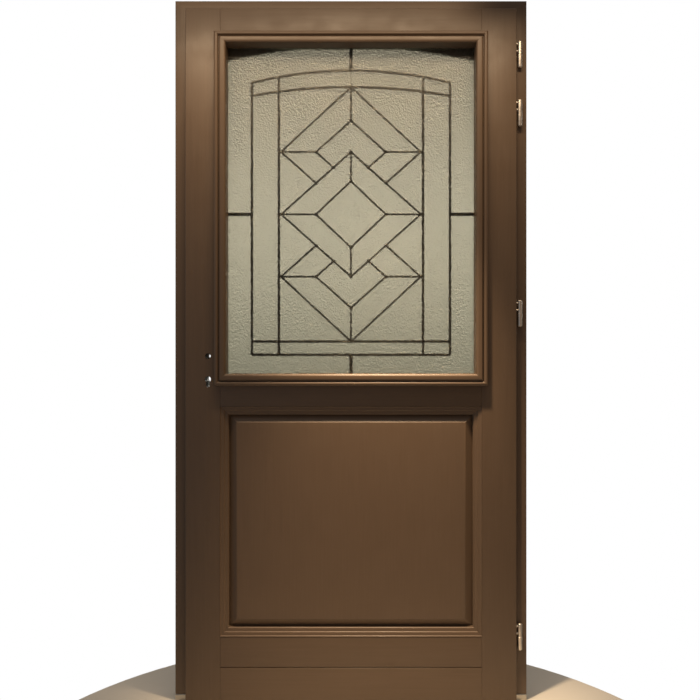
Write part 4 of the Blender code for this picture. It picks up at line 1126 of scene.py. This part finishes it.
class DOOR_OT_hinges(Operator):
    """Builds the four drill-in hinges."""

    bl_idname = "door.hinges"
    bl_label = "Hinges"

    def execute(self, context):
        for number in HINGE_NUMBERS:
            self.hinge("hinge_" + str(number), context.scene.door_hardware.round_sides)
        return {"FINISHED"}

    def hinge(self, name, sides):
        """Two turned knuckles, each with its screwed pins, and the pin that joins them."""
        centre = centre_of(name + "_pin")
        x, y, z = centre
        top = HINGE_HEIGHT / 2
        split = top - KNUCKLE_HEIGHT
        lip = split + KNUCKLE_GAP
        cap = (HINGE_RADIUS, top - DOME_HEIGHT)
        leaf = [(0, split + SOCKET_DEPTH), (HINGE_BORE, split + SOCKET_DEPTH), (HINGE_BORE, lip)]
        leaf += [(HINGE_RADIUS - HINGE_ARRIS, lip), (HINGE_RADIUS, lip + HINGE_ARRIS), cap]
        leaf += [*quarter(cap, (0, top), True, DOME_STEPS)]
        collar = split - COLLAR_HEIGHT
        wide = HINGE_RADIUS + COLLAR_STEP
        foot = (HINGE_RADIUS, DOME_HEIGHT - top)
        jamb = [(0, split - SOCKET_DEPTH), (HINGE_BORE, split - SOCKET_DEPTH), (HINGE_BORE, split)]
        jamb += [(wide - HINGE_ARRIS, split), (wide, split - HINGE_ARRIS), (wide, collar + HINGE_ARRIS)]
        jamb += [(wide - HINGE_ARRIS, collar), (HINGE_RADIUS, collar), foot]
        jamb += [*quarter(foot, (0, -top), True, DOME_STEPS)]
        leaf_shapes, jamb_shapes = [turned(leaf, centre, sides)], [turned(jamb, centre, sides)]
        inside = HINGE_RADIUS - PIN_IN_KNUCKLE
        for below in LEAF_PINS_BELOW_TOP:
            height = z + top - below
            ends = (x - inside, y, height), (LIP_HALF - PIN_IN_TIMBER, y, height)
            leaf_shapes.append(rod(*ends, SCREW_PIN_RADIUS))
        for above in FRAME_PINS_ABOVE_FOOT:
            height = z + above - top
            ends = (x, y + inside, height), (x, FRAME_FACE + PIN_IN_TIMBER, height)
            jamb_shapes.append(rod(*ends, SCREW_PIN_RADIUS))
        for body, shapes in (("leaf", leaf_shapes), ("frame", jamb_shapes)):
            node = name + "_" + body + "_knuckle"
            mesh = new_mesh(node, shapes)
            new_piece("nickel_" + node, mesh, body, finish("nickel"), [node])
        refinish(name + "_pin", "steel")


class DOOR_OT_lock(Operator):
    """Finishes the lock case, its follower and the strike plate, and adds their screws."""

    bl_idname = "door.lock"
    bl_label = "Lock"

    def execute(self, context):
        for node in ("lock_case", "spindle_follower", "strike_plate"):
            refinish(node, "steel")
        self.screws("faceplate_screws", "leaf", LOCK_LOW[X], -1, (LOCK_LOW[Z], LOCK_HIGH[Z]))
        self.screws("strike_screws", "frame", STRIKE_HIGH[X], 1, (STRIKE_LOW[Z], STRIKE_HIGH[Z]))
        return {"FINISHED"}

    def screws(self, name, body, x, outward, ends):
        """A screw head near the foot and one near the top of a plate."""
        shapes = []
        for z in (ends[0] + SCREW_INSET, ends[1] - SCREW_INSET):
            line = (x - outward * MM, FOLLOWER[Y], z), (x + outward * SCREW_PROUD, FOLLOWER[Y], z)
            shapes.append(rod(*line, SCREW_RADIUS, SCREW_SIDES, SCREW_ROUNDING))
        new_piece("steel_" + name, new_mesh(name, shapes), body, finish("steel"))


def add_lamp(name, kind, place, aim, **properties):
    """A lamp at a place that shines towards the aim."""
    light = bpy.data.lights.new(name, kind)
    for key, value in properties.items():
        setattr(light, key, value)
    lamp = bpy.data.objects.new(name, light)
    lamp.location = place
    lamp.rotation_euler = (Vector(aim) - Vector(place)).to_track_quat("-Z", "Y").to_euler()
    lamp.visible_camera = False
    bpy.context.scene.collection.objects.link(lamp)


class DOOR_OT_stage(Operator):
    """Sets the floor, the lights, the world and the camera."""

    bl_idname = "door.stage"
    bl_label = "Stage"

    def execute(self, context):
        settings = context.scene.door_stage
        self.floor(settings)
        self.lights(settings)
        self.world(settings)
        self.camera(context, settings)
        context.scene.view_settings.view_transform = "Standard"
        return {"FINISHED"}

    def floor(self, settings):
        """A level disc under the door, mostly in front of it."""
        angle = turn(FLOOR_SIDES)
        across, ahead = FLOOR_RADIUS * np.cos(angle), FLOOR_RADIUS * np.sin(angle) - FLOOR_AHEAD
        points = np.stack([across, ahead, np.zeros(FLOOR_SIDES)], axis=1)
        mesh = bpy.data.meshes.new("floor")
        mesh.from_pydata(points.tolist(), [], [list(range(FLOOR_SIDES))])
        material, shader = new_material("pale_floor", {"Roughness": 0.7})
        vary(shader, 400 * MM, colours=(shade(settings.floor, 0.96), settings.floor))
        mesh.materials.append(material)
        floor = bpy.data.objects.new("floor", mesh)
        bpy.context.scene.collection.objects.link(floor)

    def lights(self, settings):
        """A warm strip and a narrow wash before the door's head, and a downlight that grazes the leaf."""
        strip = {"shape": "RECTANGLE", "size": 1.3, "size_y": 0.05, "spread": math.radians(104)}
        strip.update(energy=settings.strip_power, color=settings.ceiling_colour)
        add_lamp("ceiling_strip", "AREA", (-0.06, -0.40, 2.25), (-0.06, -0.05, 1.50), **strip)
        strip.update(size=1.0, size_y=0.03, spread=math.radians(42), energy=settings.wash_power)
        add_lamp("head_wash", "AREA", (-0.12, -0.38, 2.25), (-0.12, -0.03, 2.20), **strip)
        beam = {"spot_size": math.radians(46), "spot_blend": 1.0, "shadow_soft_size": 0.04}
        beam.update(energy=settings.beam_power, color=settings.ceiling_colour)
        add_lamp("ceiling_beam", "SPOT", (0.12, -0.40, 2.25), (0.14, -0.11, 0.0), **beam)

    def world(self, settings):
        """White behind the door in the picture; its light is a gradient behind and a dim room in front."""
        world = bpy.data.worlds.new("studio")
        world.use_nodes = True
        tree = world.node_tree
        tree.nodes.clear()
        tones = {
            "low": settings.sky_low,
            "middle": shade(settings.sky_middle, MIDDLE_STRENGTH),
            "high": settings.sky_high,
            "left": settings.room_left,
            "right": settings.room_right,
            "overhead": shade(settings.overhead, OVERHEAD_STRENGTH),
        }
        tones = {name: (*colour, 1.0) for name, colour in tones.items()}
        direction = add_node(tree, "ShaderNodeTexCoord").outputs["Generated"]
        parts = add_node(tree, "ShaderNodeSeparateXYZ", {"Vector": direction}).outputs
        for name, axis, start, end, first, second in LIGHT_BLENDS:
            values = {"Value": parts[axis], "From Min": start, "From Max": end}
            share = add_node(tree, "ShaderNodeMapRange", values).outputs["Result"]
            values = {0: share, 6: tones[first], 7: tones[second]}
            tones[name] = add_node(tree, "ShaderNodeMix", values, data_type="RGBA").outputs[2]
        seen = add_node(tree, "ShaderNodeLightPath").outputs["Is Camera Ray"]
        shown = add_node(tree, "ShaderNodeMix", {0: seen, 6: tones["light"], 7: WHITE}, data_type="RGBA")
        background = add_node(tree, "ShaderNodeBackground", {"Color": shown.outputs[2], "Strength": 1.0})
        add_node(tree, "ShaderNodeOutputWorld", {"Surface": background.outputs["Background"]})
        bpy.context.scene.world = world

    def camera(self, context, settings):
        """Level, square on to the door, filling the frame's height."""
        data = bpy.data.cameras.new("front")
        data.sensor_width = SENSOR_WIDTH
        data.lens = settings.focal_length
        camera = bpy.data.objects.new("front", data)
        camera.location = (CAMERA_ASIDE, FRAME_FACE - settings.camera_distance, settings.camera_height)
        camera.rotation_euler = (math.radians(90), 0.0, 0.0)
        context.scene.collection.objects.link(camera)
        context.scene.camera = camera


class DOOR_PT_sidebar(Panel):
    """Lists the settings and the pieces."""

    bl_idname = "DOOR_PT_sidebar"
    bl_label = "Entrance Door"
    bl_space_type = "VIEW_3D"
    bl_region_type = "UI"
    bl_category = "Entrance Door"

    def draw(self, context):
        for group in (getattr(context.scene, name) for name in SETTINGS):
            box = self.layout.box()
            for name in group.__annotations__:
                box.prop(group, name)
        for operator in OPERATORS:
            self.layout.operator(operator.bl_idname)


SETTINGS = {
    "door_joinery": JoinerySettings,
    "door_glazing": GlazingSettings,
    "door_hardware": HardwareSettings,
    "door_stage": StageSettings,
}
OPERATORS = (
    DOOR_OT_stage,
    DOOR_OT_frame,
    DOOR_OT_threshold,
    DOOR_OT_leaf_timbers,
    DOOR_OT_glazing_mouldings,
    DOOR_OT_glass_unit,
    DOOR_OT_leaded_lattice,
    DOOR_OT_raised_panel,
    DOOR_OT_hinges,
    DOOR_OT_lock,
)


def register():
    for group in SETTINGS.values():
        bpy.utils.register_class(group)
    for name, group in SETTINGS.items():
        setattr(bpy.types.Scene, name, PointerProperty(type=group))
    for item in (*OPERATORS, DOOR_PT_sidebar):
        bpy.utils.register_class(item)


def unregister():
    for item in (DOOR_PT_sidebar, *reversed(OPERATORS)):
        bpy.utils.unregister_class(item)
    for name, group in SETTINGS.items():
        delattr(bpy.types.Scene, name)
        bpy.utils.unregister_class(group)


def main():
    register()
    for operator in OPERATORS:
        group, name = operator.bl_idname.split(".")
        getattr(getattr(bpy.ops, group), name)()


if __name__ == "__main__":
    main()
